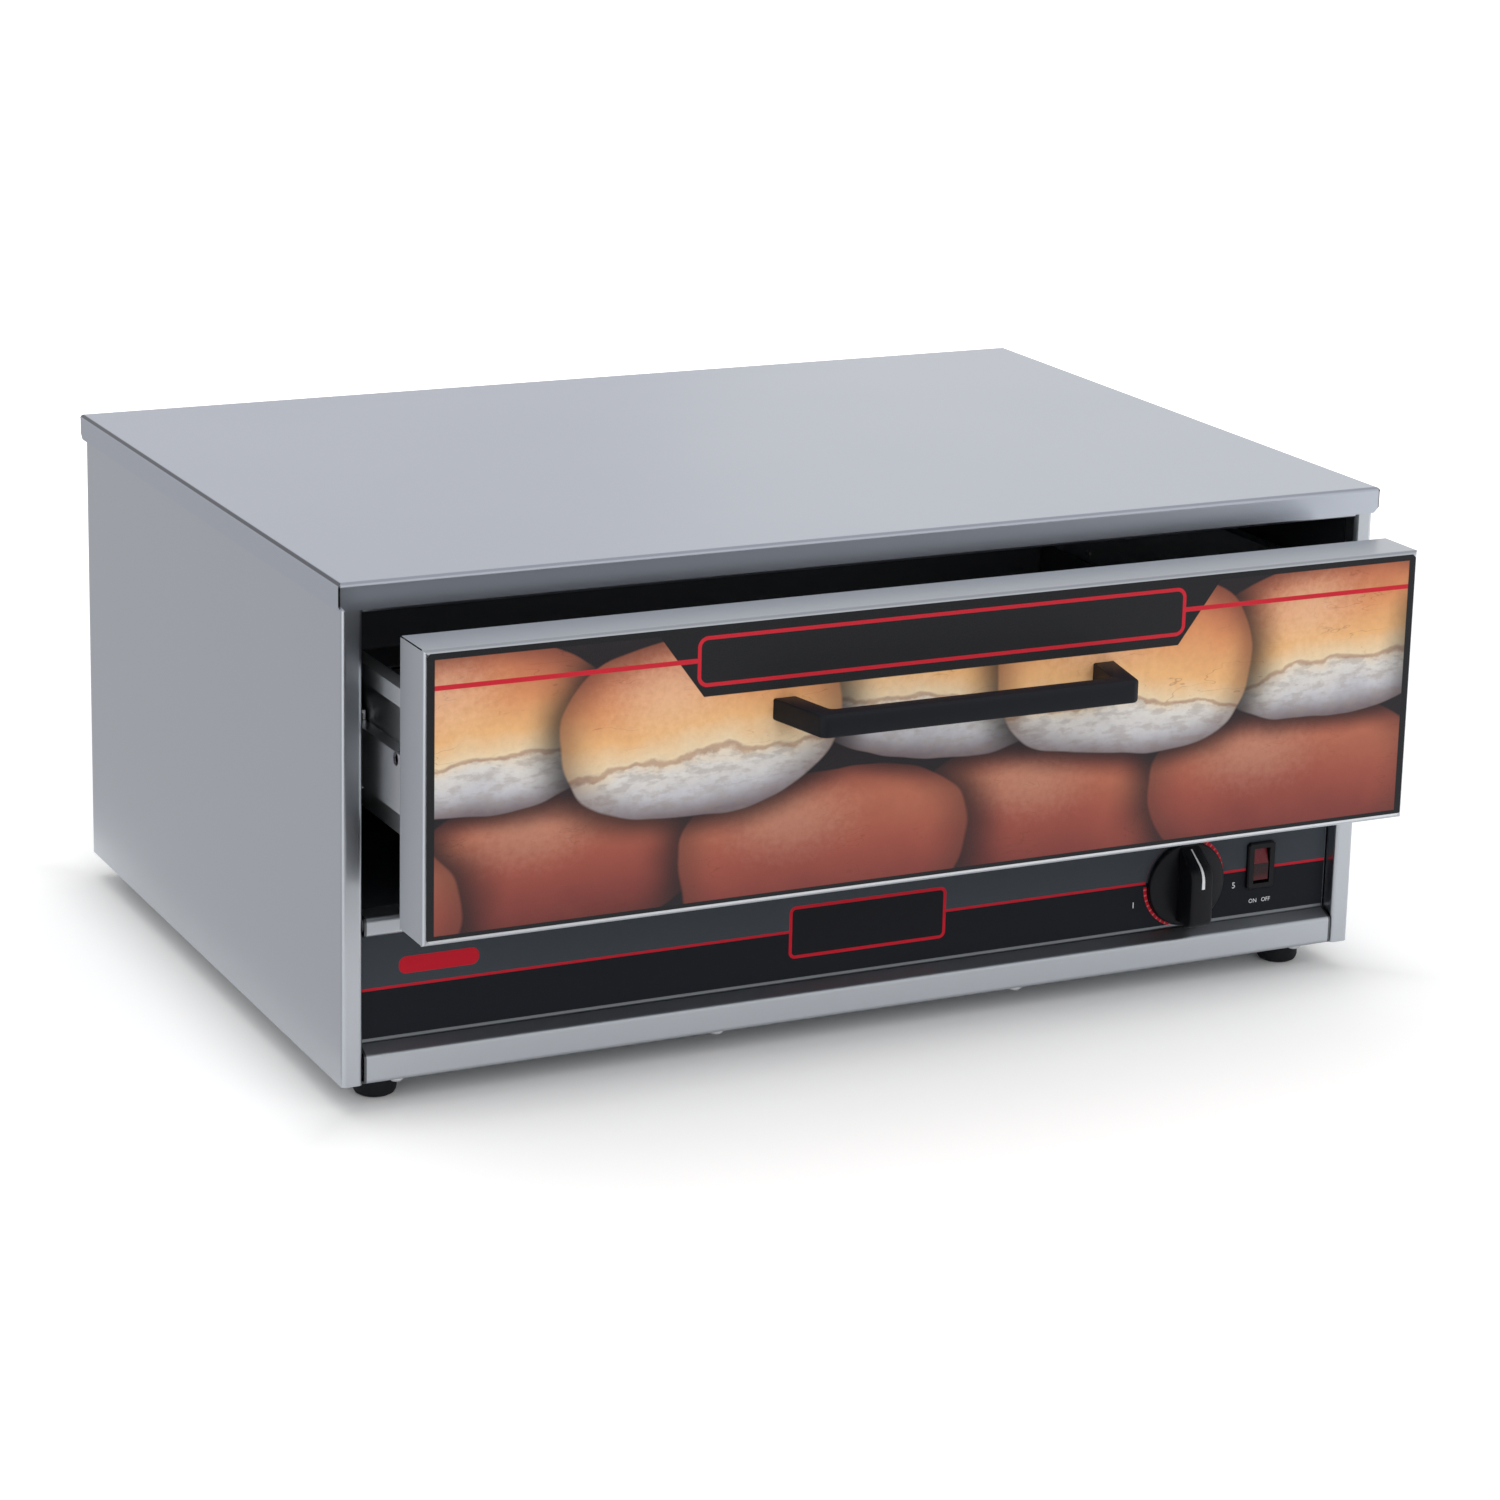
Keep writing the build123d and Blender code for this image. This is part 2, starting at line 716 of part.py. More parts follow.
def make_switch_housing():
    """Bezel, body, rocker well and terminal tabs of the power switch."""
    wide, tall, deep = switch_body
    well_wide, well_tall, well_deep = switch_well
    front = panel_front - bezel_proud
    x = (switch_x - bezel_width / 2, switch_x + bezel_width / 2)
    z = (switch_z - bezel_height / 2, switch_z + bezel_height / 2)
    bezel = box(x, (front, panel_front), z)
    bezel = chamfer(bezel.edges().filter_by(Axis.Y), bezel_corner)
    bezel = chamfer(bezel.faces().sort_by(Axis.Y)[0].edges(), bezel_edge)
    body = box(
        (switch_x - wide / 2, switch_x + wide / 2),
        (panel_front, panel_recess + deep),
        (switch_z - tall / 2, switch_z + tall / 2),
    )
    housing = bezel + body
    housing -= Pos(switch_x, front, switch_z) * Box(well_wide, 2 * well_deep, well_tall)
    pin_length = rocker_width + 2 * rocker_pin_reach + fold_clearance
    pin_hole = Cylinder(rocker_pin / 2 + rocker_pin_clearance, pin_length)
    housing -= Location((switch_x, front + rocker_pivot_depth, switch_z), (0, 90, 0)) * pin_hole
    tab_wide, tab_long, tab_thick = switch_tab
    for offset in (-switch_tab_pitch, 0, switch_tab_pitch):
        middle = (switch_x, panel_recess + deep + tab_long / 2, switch_z + offset)
        housing += Pos(*middle) * Box(tab_wide, tab_long, tab_thick)
    return housing


def make_rocker():
    """The lit rocker: a shallow roof shape on two trunnions, resting with its top pressed in."""
    half = rocker_height / 2
    edge = rocker_crown - rocker_fall
    points = [(-edge, half), (-rocker_crown, 0), (-edge, -half), (rocker_back, -half), (rocker_back, half)]
    face = Plane.YZ * make_face(Polyline(*points, close=True))
    rocker = extrude(face, rocker_width / 2, both=True)
    rocker += Rot(0, 90, 0) * Cylinder(rocker_pin / 2, rocker_width + 2 * rocker_pin_reach)
    pivot = (switch_x, panel_front - bezel_proud + rocker_pivot_depth, switch_z)
    return Location(pivot) * Rot(-rocker_angle, 0, 0) * rocker


def make_terminal_block():
    """A two-row screw terminal strip on the floor beside the cord gland."""
    block = Box(*terminal_block_size, align=(Align.CENTER, Align.CENTER, Align.MIN))
    radius, depth = terminal_well
    well = Pos(0, 0, terminal_block_size[2]) * extrude(RegularPolygon(radius, 8), -depth)
    for spot in GridLocations(terminal_pitch[0], terminal_pitch[1], terminal_columns, 2):
        block -= spot * well
    return Pos(terminal_block_place[0], terminal_block_place[1], 2 * sheet) * block


def slide_end_view(start, end):
    """A plane square to the travel; drawing x runs from the liner to the drawer, y runs up."""
    middle = (start + end) / 2
    origin = (liner_face, middle, slide_centre)
    return Plane(origin=origin, x_dir=(-1, 0, 0), z_dir=(0, 1, 0))


def slide_channel(web, reach, half_height, lip, start, end):
    """One channel of a slide: web, two race flanges and their turned lips."""
    t = slide_sheet / 2
    edge = half_height - t
    points = [(web + t, edge), (web + t, -edge)]
    top = [(reach - t, edge)]
    low = [(reach - t, -edge)]
    if lip > 0:
        top.insert(0, (reach - t, half_height - slide_sheet - lip))
        low.append((reach - t, -(half_height - slide_sheet - lip)))
    return folded_square(slide_end_view(start, end), top + points + low, slide_sheet, end - start)


def slide_heights():
    """Half heights of the inner, middle and outer members, nested by the race gap."""
    inner = inner_height / 2
    middle = inner + race_gap + slide_sheet
    outer = middle + race_gap + slide_sheet
    return inner, middle, outer


def slide_screw_rows():
    return spread(slide_start + slide_screw_inset, slide_start + slide_length - slide_screw_inset, 3)


def inner_screw_rows():
    return [inner_start + inner_screw_inset, inner_start + slide_length - inner_screw_inset]


def side_facing(x, y):
    """A place on the slides' centre line, facing right, out of the cabinet."""
    return Location((x, y, slide_centre), (0, 90, 0))


def make_slide_outer():
    half = slide_heights()[2]
    member = slide_channel(0, outer_reach, half, race_lip, slide_start, slide_start + slide_length)
    for y in slide_screw_rows():
        member -= side_facing(liner_face, y) * drill(slide_hole)
    return member


def make_slide_middle():
    start = slide_start + middle_setback
    half = slide_heights()[1]
    return slide_channel(middle_start, middle_reach, half, race_lip, start, slide_start + slide_length)


def make_slide_inner():
    """The drawer's member: a flat web towards the cabinet, its flanges against the drawer side."""
    half = slide_heights()[0]
    member = slide_channel(inner_web, slide_thickness, half, 0, inner_start, inner_start + slide_length)
    for y in inner_screw_rows():
        member -= side_facing(liner_face - inner_web, y) * drill(slide_hole)
    notch_at = side_facing(liner_face - inner_web, inner_start + notch_inset[0])
    return member - notch_at * Pos(notch_inset[1] - half, 0, 0) * drill(notch_radius)


def make_cabinet_slide_screws():
    """Low heads inside the outer members, driven out through the liners."""
    head = Rot(180, 0, 0) * screw(**dict(slide_screw, shank_length=slide_sheet + 4 * liner_sheet))
    right = [side_facing(liner_face - slide_sheet, y) * head for y in slide_screw_rows()]
    return group(right + [mirror(piece, about=Plane.YZ) for piece in right])


def make_drawer_slide_screws():
    """Screws through the inner members' webs into the drawer sides."""
    length = slide_thickness - inner_web + sheet + slide_sheet
    head = screw(**dict(slide_screw, shank_length=length))
    right = [side_facing(liner_face - inner_web, y) * head for y in inner_screw_rows()]
    return group(right + [mirror(piece, about=Plane.YZ) for piece in right])


def make_drawer_front():
    """A pan of folded steel facing forward, its returns running back round all four sides."""
    pan = folded_pan(front_width, front_height, front_depth, sheet, 0)
    upright = Plane(origin=(0, 0, front_base + front_height / 2), x_dir=(1, 0, 0), z_dir=(0, -1, 0))
    front = upright.location * pan
    for x in handle_screw_x:
        front -= front_facing(x, handle_centre) * drill(handle_hole)
    return front


def front_facing(x, z):
    """A place on the drawer's face, facing forward."""
    return Location((x, 0, z), (90, 0, 0))


def make_drawer_print():
    """The printed film on the drawer's face, out to just inside the folded edges."""
    half = front_width / 2 - print_margin
    low = front_base + print_margin
    high = front_base + front_height - print_margin
    film = box((-half, half), (-print_thickness, 0), (low, high))
    film = chamfer(film.edges().filter_by(Axis.Y), print_corner)
    for x in handle_screw_x:
        film -= front_facing(x, handle_centre) * drill(handle_hole)
    return film


def make_drawer_front_liner():
    """The flat plate that closes the back of the drawer front."""
    half = front_width / 2 - sheet
    low = front_base + sheet
    high = front_base + front_height - sheet
    liner = box((-half, half), (front_depth - 2 * sheet, front_depth - sheet), (low, high))
    for x, z in drawer_screw_places():
        liner -= front_facing(x, z) * Pos(0, 0, sheet - front_depth) * drill(screw_hole)
    return liner


def make_handle():
    """A bridge pull of square section with splayed legs."""
    base = handle_base / 2
    front = handle_front / 2
    splay = base - front
    inner_base = base - handle_bar - handle_leg_widening
    inner_front = inner_base - splay * (handle_reach - handle_bar) / handle_reach
    outline = [
        (-base, 0),
        (-front, -handle_reach),
        (front, -handle_reach),
        (base, 0),
        (inner_base, 0),
        (inner_front, handle_bar - handle_reach),
        (-inner_front, handle_bar - handle_reach),
        (-inner_base, 0),
    ]
    bar = extrude(make_face(Polyline(*outline, close=True)), handle_bar / 2, both=True)
    uprights = bar.edges().filter_by(Axis.Z).sort_by(Axis.Y)
    bar = fillet(uprights[:2], handle_corner)
    inner = bar.edges().filter_by(Axis.Z).filter_by(off_the_face).sort_by(Axis.Y)[-2:]
    bar = fillet(inner, handle_corner / 2)
    faces = bar.faces().filter_by(Axis.Z).edges()
    bar = chamfer(faces.filter_by(off_the_face), handle_edge)
    thread = Plane.XZ * RegularPolygon(screw_hole, 8)
    for x in handle_screw_x:
        bar -= Pos(x, 0, 0) * extrude(thread, handle_thread_depth)
    return Pos(0, -print_thickness, handle_centre) * bar


def off_the_face(edge):
    """Whether an edge of the handle stands clear of the drawer's face."""
    return edge.center().Y < -handle_edge / 2


def make_handle_screws():
    head = Pos(0, 0, -sheet) * Rot(180, 0, 0) * screw(**handle_screw)
    return group(front_facing(x, handle_centre) * head for x in handle_screw_x)


def make_drawer_side():
    """The right drawer side: bottom flange, wall and a rim turned out and down."""
    mid = sheet / 2
    wall = drawer_side_face - mid
    rim = drawer_side_face + rim_width - mid
    points = [
        (drawer_side_face - drawer_flange, drawer_floor + mid),
        (wall, drawer_floor + mid),
        (wall, drawer_top - mid),
        (rim, drawer_top - mid),
        (rim, drawer_top - rim_drop),
    ]
    start = front_depth - sheet
    middle = Plane(origin=(0, (start + drawer_length) / 2, 0), x_dir=(1, 0, 0), z_dir=(0, -1, 0))
    side = folded_square(middle, points, sheet, drawer_length - start)
    tab_x = (drawer_side_face - drawer_tab, drawer_side_face - sheet)
    tab_z = (drawer_floor + sheet, drawer_top - sheet)
    side += box(tab_x, (start, start + sheet), tab_z)
    side += box(tab_x, (drawer_length - sheet, drawer_length), tab_z)
    rim_x = (drawer_side_face + bend, drawer_side_face + rim_width + sheet)
    rim_z = (drawer_top - rim_drop - sheet, drawer_top + sheet)
    side -= box(rim_x, (start - sheet, front_depth + fold_clearance), rim_z)
    for x, z in drawer_screw_places():
        side -= front_facing(x, z) * Pos(0, 0, -start) * drill(screw_hole)
        side -= front_facing(x, z) * Pos(0, 0, -drawer_length) * drill(screw_hole)
    for y in inner_screw_rows():
        side -= side_facing(drawer_side_face, y) * drill(slide_hole)
    return side


def drawer_screw_places():
    inset_x, inset_z = drawer_screw_inset
    heights = (drawer_floor + inset_z, drawer_top - inset_z)
    return [(side * (drawer_side_face - inset_x), z) for side in (-1, 1) for z in heights]


def make_drawer_rear():
    """The back of the drawer, with a floor flange between those of the sides."""
    plate = box(
        (-drawer_side_face, drawer_side_face),
        (drawer_length, drawer_length + sheet),
        (drawer_floor, drawer_top - sheet),
    )
    edge = drawer_side_face - drawer_flange - fold_clearance
    shelf_y = (drawer_length - drawer_tab, drawer_length)
    plate += box((-edge, edge), shelf_y, (drawer_floor, drawer_floor + sheet))
    for x, z in drawer_screw_places():
        plate -= front_facing(x, z) * Pos(0, 0, -drawer_length) * drill(screw_hole)
    return plate


def make_drawer_screws():
    """Screws that join the drawer sides to the front liner and to the rear."""
    head = Rot(180, 0, 0) * screw(**dict(small_screw, shank_length=4 * sheet))
    seats = (front_depth, drawer_length + sheet)
    places = [front_facing(x, z) * Pos(0, 0, -seat) for seat in seats for x, z in drawer_screw_places()]
    return group(place * head for place in places)


def make_bun_tray():
    """A lift-out tray with upturned walls and a slotted floor, resting on the side flanges."""
    start = front_depth + sheet + small_screw["head_height"] + tray_clearance
    end = drawer_length - sheet - tray_rear_clearance
    half = drawer_side_face - sheet - tray_clearance
    pan = folded_pan(2 * half, end - start, tray_wall, tray_sheet, 0)
    columns = int((2 * half - tray_slot_margin[0]) // tray_slot_pitch[0])
    rows = int((end - start - tray_slot_margin[1]) // tray_slot_pitch[1])
    for spot in GridLocations(tray_slot_pitch[0], tray_slot_pitch[1], columns, rows):
        pan -= spot * Box(tray_slot[0], tray_slot[1], cut_through)
    return Pos(0, (start + end) / 2, drawer_floor + sheet) * Rot(180, 0, 0) * pan


def cabinet_nodes():
    left_side, right_side = both_sides(make_side_panel())
    left_liner, right_liner = both_sides(make_side_liner())
    left_outer, right_outer = both_sides(make_slide_outer())
    nodes = {
        "lid": make_lid(),
        "lid_screws": make_lid_screws(),
        "left_side_panel": left_side,
        "right_side_panel": right_side,
        "front_header": make_header(),
        "front_fascia": make_fascia(),
        "control_overlay": make_control_overlay(),
        "bottom_panel": make_bottom_panel(),
        "rear_panel": make_rear_panel(),
        "rear_panel_screws": make_rear_panel_screws(),
        "cord_gland": make_cord_gland(),
        "left_liner": left_liner,
        "right_liner": right_liner,
        "rear_liner": make_rear_liner(),
        "top_liner": make_top_liner(),
        "heat_deck": make_deck(),
        "heating_element": make_element(),
        "element_clips": make_element_clips(),
        "element_bushings": make_element_bushings(),
        "thermostat_body": make_thermostat_body(),
        "thermostat_capillary": make_capillary(),
        "thermostat_bulb": make_bulb(),
        "bulb_clips": make_bulb_clips(),
        "switch_housing": make_switch_housing(),
        "terminal_block": make_terminal_block(),
        "slide_outer_left": left_outer,
        "slide_outer_right": right_outer,
        "slide_screws_cabinet": make_cabinet_slide_screws(),
        "fascia_screws": make_lip_screws(),
        "foot_screws": make_foot_screws(),
        "thermostat_shaft": make_thermostat_shaft(),
        "control_knob": make_knob(),
        "switch_rocker": make_rocker(),
    }
    names = ("foot_front_left", "foot_rear_left", "foot_front_right", "foot_rear_right")
    for name, (x, y) in zip(names, foot_places()):
        nodes[name] = Pos(x, y, 0) * make_foot()
    return nodes


def middle_nodes():
    left, right = both_sides(make_slide_middle())
    return {"slide_middle_left": left, "slide_middle_right": right}


def drawer_nodes():
    left_side, right_side = both_sides(make_drawer_side())
    left_inner, right_inner = both_sides(make_slide_inner())
    return {
        "drawer_front": make_drawer_front(),
        "drawer_print": make_drawer_print(),
        "drawer_front_liner": make_drawer_front_liner(),
        "drawer_handle": make_handle(),
        "handle_screws": make_handle_screws(),
        "drawer_left_side": left_side,
        "drawer_right_side": right_side,
        "drawer_rear": make_drawer_rear(),
        "drawer_screws": make_drawer_screws(),
        "bun_tray": make_bun_tray(),
        "slide_inner_left": left_inner,
        "slide_inner_right": right_inner,
        "slide_screws_drawer": make_drawer_slide_screws(),
    }


def main():
    os.makedirs("parts", exist_ok=True)
    for nodes, place in (
        (cabinet_nodes(), Location()),
        (middle_nodes(), middle_at_rest),
        (drawer_nodes(), drawer_at_rest),
    ):
        for name, piece in nodes.items():
            export_step((to_reference * place) * piece, f"parts/{name}.step")


main()
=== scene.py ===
# %% [markdown]
# # A counter-top bun warmer
# This lesson dresses a finished CAD model of a bun warmer: a folded steel cabinet with one
# heated drawer, a recessed control panel, a knob, a rocker switch and rubber feet. The CAD
# pieces keep their shapes and get procedural finishes. Small things that a maker would buy
# in, such as screws, slide balls and the knob, are modelled here in more detail.
# The model is loaded first. Nothing made here may outgrow it.

# %% Load the model
import json
import math

import bmesh
import bpy
from mathutils import Matrix, Vector


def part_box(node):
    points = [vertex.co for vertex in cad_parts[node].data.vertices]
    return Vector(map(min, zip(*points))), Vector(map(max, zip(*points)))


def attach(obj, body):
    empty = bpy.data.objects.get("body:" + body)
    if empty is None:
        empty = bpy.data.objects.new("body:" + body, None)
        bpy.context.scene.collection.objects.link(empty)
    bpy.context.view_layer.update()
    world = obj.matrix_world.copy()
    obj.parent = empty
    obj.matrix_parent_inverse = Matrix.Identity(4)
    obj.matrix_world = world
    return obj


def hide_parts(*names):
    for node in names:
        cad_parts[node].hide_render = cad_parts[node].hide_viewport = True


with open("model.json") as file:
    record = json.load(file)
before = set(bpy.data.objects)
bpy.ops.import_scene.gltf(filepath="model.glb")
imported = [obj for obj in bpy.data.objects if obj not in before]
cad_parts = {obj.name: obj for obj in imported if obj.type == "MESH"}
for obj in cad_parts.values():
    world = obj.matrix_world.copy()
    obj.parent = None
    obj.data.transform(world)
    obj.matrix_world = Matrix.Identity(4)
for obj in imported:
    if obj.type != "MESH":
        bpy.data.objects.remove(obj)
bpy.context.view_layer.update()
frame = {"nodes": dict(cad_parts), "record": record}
nodes = frame["nodes"]

# %% [markdown]
# ## Where things are
# The maker's drawing measures from the middle of the cabinet's front face, at the lower edge
# of its sides, in millimetres. The model's own zero is the middle of its footprint on the
# table. Two pieces of the model give the step from one to the other: the lid's top is
# 225 mm above the sides' lower edge, and the rear panel's outer face is 359 mm behind the
# front face. One small function then places everything below.

# %% From the drawing to the model
MM = 0.001
rear_panel_back, lid_top, drawer_open = 359, 225, 58
_, rear_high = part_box("rear_panel")
lid_low, lid_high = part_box("lid")
front_y = rear_high.y - rear_panel_back * MM
side_z = lid_high.z - lid_top * MM


def at(x, y, z):
    """A point of the drawing, in millimetres, as a point of the model, in metres."""
    return Vector((x * MM, front_y + y * MM, side_z + z * MM))


def drawer_at(x, y, z):
    """The same for a drawer piece, whose y starts at the drawer's own face."""
    return at(x, y - drawer_open, z)


print("front face at y", round(front_y, 5), "sides' lower edge at z", round(side_z, 5))

# %% [markdown]
# ## A small helper for shader maths
# A material is a graph of nodes. Wiring a Math node for each plus and minus hides the idea,
# so this class wraps one socket and lets Python operators add the Math nodes. Any other node
# comes from one method: its settings are set first, then its inputs are filled or linked.

# %% The socket class
class Socket:
    """One output in a material's graph; arithmetic on it adds Math nodes."""

    def __init__(self, tree, output=None):
        self.tree = tree
        self.output = output

    def node(self, kind, settings=None, inputs=None, result=0):
        """Any node in this graph; result says which of its outputs comes back."""
        made = self.tree.nodes.new(kind)
        for name, value in (settings or {}).items():
            if name == "stops":
                ramp = made.color_ramp
                while len(ramp.elements) < len(value):
                    ramp.elements.new(0.5)
                for element, (place, colour) in zip(ramp.elements, value):
                    element.position = place
                    element.color = (*colour, 1)
            else:
                setattr(made, name, value)
        for key, value in (inputs or {}).items():
            if isinstance(value, Socket):
                self.tree.links.new(value.output, made.inputs[key])
            else:
                made.inputs[key].default_value = value
        return Socket(self.tree, made.outputs[result])

    def math(self, operation, *values):
        return self.node("ShaderNodeMath", {"operation": operation}, dict(enumerate(values)))

    def __add__(self, other):
        return self.math("ADD", self, other)

    def __radd__(self, other):
        return self.math("ADD", other, self)

    def __sub__(self, other):
        return self.math("SUBTRACT", self, other)

    def __rsub__(self, other):
        return self.math("SUBTRACT", other, self)

    def __mul__(self, other):
        return self.math("MULTIPLY", self, other)

    def __rmul__(self, other):
        return self.math("MULTIPLY", other, self)

    def __truediv__(self, other):
        return self.math("DIVIDE", self, other)

    def __rtruediv__(self, other):
        return self.math("DIVIDE", other, self)

    def __pow__(self, other):
        return self.math("POWER", self, other)

    def __lt__(self, other):
        return self.math("LESS_THAN", self, other)

    def __gt__(self, other):
        return self.math("GREATER_THAN", self, other)

    def __abs__(self):
        return self.math("ABSOLUTE", self)


# %% [markdown]
# ## What the finishes share
# A finish starts from Object coordinates, which for these pieces are the model's own metres,
# so a pattern stays on its piece when the piece moves. Masks are soft steps from 0 to 1, and
# every border in a print is one of them. Noise gives each surface its grain.

# %% Starting and feeding a material
finishes = {}


def new_material(name):
    """A new entry in finishes; returns its graph and its shader node."""
    material = bpy.data.materials.new(name)
    material.use_nodes = True
    finishes[name] = material
    return Socket(material.node_tree), material.node_tree.nodes["Principled BSDF"]


def feed(graph, shader, **inputs):
    """Links values or sockets to the shader's inputs, named with _ for a space."""
    for name, value in inputs.items():
        socket = shader.inputs[name.replace("_", " ")]
        if isinstance(value, Socket):
            graph.tree.links.new(value.output, socket)
        else:
            socket.default_value = value


def place(graph):
    """The point's x, y and z on the piece, in metres, and the same as one vector."""
    coordinates = graph.node("ShaderNodeTexCoord", result="Object")
    parts = [coordinates.node("ShaderNodeSeparateXYZ", None, {0: coordinates}, n) for n in range(3)]
    return (*parts, coordinates)


# %% Masks, noise, mixing and bump
def larger(first, second):
    return first.math("MAXIMUM", first, second)


def smaller(first, second):
    return first.math("MINIMUM", first, second)


def soft_step(value, start, end):
    """0 before start, 1 after end, smooth between them."""
    return value.node(
        "ShaderNodeMapRange",
        {"interpolation_type": "SMOOTHSTEP"},
        {"Value": value, "From Min": start, "From Max": end},
    )


def noise(vector, scale, detail=3.0, rough=0.5, stretch=(1, 1, 1)):
    """Grey noise around 0.5; stretch makes it finer along an axis."""
    turned = vector.node("ShaderNodeMapping", None, {"Vector": vector, "Scale": stretch})
    return turned.node("ShaderNodeTexNoise", None, {
        "Vector": turned, "Scale": scale, "Detail": detail, "Roughness": rough
    })


def mix(share, first, second):
    """The first colour where share is 0 and the second where it is 1."""
    graph = next(v for v in (share, first, second) if isinstance(v, Socket))
    first, second = (v if isinstance(v, Socket) else (*v, 1) for v in (first, second))
    return graph.node("ShaderNodeMix", {"data_type": "RGBA"}, {0: share, 6: first, 7: second}, 2)


def scaled(graph, colour, tone):
    """The colour made brighter or darker by a varying tone."""
    return graph.node("ShaderNodeVectorMath", {"operation": "SCALE"}, {0: colour, "Scale": tone})


def bump(height, distance):
    """A normal that follows the height, whose full range is the distance in metres."""
    return height.node("ShaderNodeBump", None, {
        "Height": height, "Distance": distance, "Strength": 1.0
    })


# %% [markdown]
# ## Sheet steel
# The cabinet is satin stainless sheet. Its gloss is broken by a very fine grain from the
# mill and by faint clouds from wiping. A metal's colour is its reflection, so the colour
# hardly varies: the grain goes into roughness and a bump a few microns deep. The lid and the
# fascia also get painted shade: darker colour in open seams, along edges, on the lid's side
# skirts, and in the fascia's inside corner and at its ends. Each has a function that says
# how much darker such a place is painted.

# %% One function for the steels
def sheet_steel(name, colour, roughness, grain, shade=None):
    """grain is the bump's depth in millimetres; shade tells where shade is painted on the sheet."""
    graph, shader = new_material(name)
    x, y, z, where = place(graph)
    fine = noise(where, 900, 2.0, 0.6, stretch=(0.12, 0.5, 1))
    clouds = noise(where, 9, 3.0, 0.5)
    tone = 0.95 + clouds * 0.06 + fine * 0.01
    if shade:
        tone = tone * (1 - shade(x, y, z))
    feed(
        graph, shader, Base_Color=scaled(graph, colour, tone), Metallic=1.0,
        Roughness=roughness - 0.04 + clouds * 0.07 + fine * 0.02,
        Normal=bump(fine, grain * MM),
    )


# %% Painted shade on the lid and the fascia
fascia_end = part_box("front_fascia")[1].x / MM
ledge_top, panel_face = 19.0, 7.7


def lid_shade(x, y, z):
    """Painted shade in the open seams at the lid's corners, along its side edges and on its side
    skirts.
    """
    middle_y, half_deep = (lid_high.y + lid_low.y) / 2, (lid_high.y - lid_low.y) / 2
    from_side = lid_high.x / MM - abs(x / MM)
    from_end = half_deep / MM - abs((y - middle_y) / MM)
    below = (lid_high.z - z) / MM
    on_mitre = soft_step(abs(from_side - from_end), 0.95, 0.45)
    seam = on_mitre * soft_step(from_side, 2.4, 2.0) * soft_step(below, 0.7, 1.3)
    edge = soft_step(from_side + below, 1.6, 1.3)
    skirt = soft_step(below, 1.2, 1.6) * soft_step(from_side, 1.6, 1.2)
    return larger(seam * 0.9, larger(edge * 0.8, skirt * 0.05))


def fascia_shade(x, y, z):
    """Painted shade in the inside corner at the foot of the control panel, and at the ends."""
    at_face = soft_step(y, front_y + (panel_face - 1.1) * MM, front_y + (panel_face - 0.4) * MM)
    foot = at_face * soft_step(z, side_z + ledge_top * MM, side_z + (ledge_top - 0.4) * MM)
    end = soft_step(abs(x / MM), fascia_end - 1.3, fascia_end - 0.9)
    return larger(foot * 0.62, end * 0.75)


# %% Satin and mill steels
cabinet_colour = (0.445, 0.47, 0.505)
sheet_steel("cabinet_steel", cabinet_colour, 0.29, 0.004)
sheet_steel("lid_steel", (0.445, 0.475, 0.535), 0.29, 0.004, lid_shade)
sheet_steel("fascia_steel", cabinet_colour, 0.40, 0.004, fascia_shade)
sheet_steel("liner_steel", (0.62, 0.64, 0.66), 0.38, 0.006)
sheet_steel("slide_steel", (0.64, 0.65, 0.67), 0.30, 0.004)
sheet_steel("screw_steel", (0.66, 0.67, 0.69), 0.26, 0.003)
sheet_steel("element_sheath", (0.20, 0.19, 0.18), 0.50, 0.01)
print("steels:", sorted(finishes))

# %% [markdown]
# ## Coatings, plastics and rubber
# Painted and moulded surfaces aren't smooth either. Powder coat has an orange-peel wave
# about a millimetre long, moulded plastic a spark-eroded texture of a few tenths, and
# rubber a dull bloom. One function makes them all from the size and depth of that texture.
# Copper comes after them, with tarnish in patches, and then the white of the marks.

# %% Dull finishes
def dull(name, colour, roughness, texture, depth, spread=0.06, sheen=0.5):
    """texture is the grain's length and depth its height, both in millimetres."""
    graph, shader = new_material(name)
    *_, where = place(graph)
    grain = noise(where, 1000 / texture, 2.0, 0.5)
    patches = noise(where, 30, 2.0, 0.5)
    tone = 1 - spread + patches * 2 * spread
    feed(
        graph, shader, Base_Color=scaled(graph, colour, tone), Specular_IOR_Level=sheen,
        Roughness=roughness - 0.05 + grain * 0.1, Normal=bump(grain, depth * MM),
    )


# Partly painted shade: the liners and the tray get dark coatings, which keep the cabinet's inside
# as dark as its shade.
dull("liner_black", (0.028, 0.031, 0.038), 0.60, 1.2, 0.02, sheen=0.2)
dull("handle_coat", (0.009, 0.0105, 0.014), 0.48, 1.0, 0.02, sheen=0.14)
dull("tray_coat", (0.150, 0.157, 0.175), 0.50, 0.8, 0.015, sheen=0.4)
dull("black_plastic", (0.004, 0.0045, 0.0065), 0.42, 0.4, 0.012, sheen=0.18)
dull("foot_rubber", (0.008, 0.009, 0.011), 0.66, 0.6, 0.03, sheen=0.2)
dull("ceramic", (0.82, 0.80, 0.74), 0.7, 0.8, 0.03, spread=0.03)

# %% Copper and white paint
graph, shader = new_material("copper")
*_, where = place(graph)
tarnish = soft_step(noise(where, 60, 4.0, 0.6), 0.35, 0.7)
feed(
    graph, shader, Metallic=1.0, Roughness=0.25 + tarnish * 0.2,
    Base_Color=mix(tarnish, (0.80, 0.45, 0.28), (0.45, 0.22, 0.13)),
)
graph, shader = new_material("white_paint")
*_, where = place(graph)
paint = mix(noise(where, 900, 2.0), (0.72, 0.74, 0.76), (0.86, 0.88, 0.90))
feed(graph, shader, Base_Color=paint, Roughness=0.45)
print("finishes so far:", sorted(finishes))
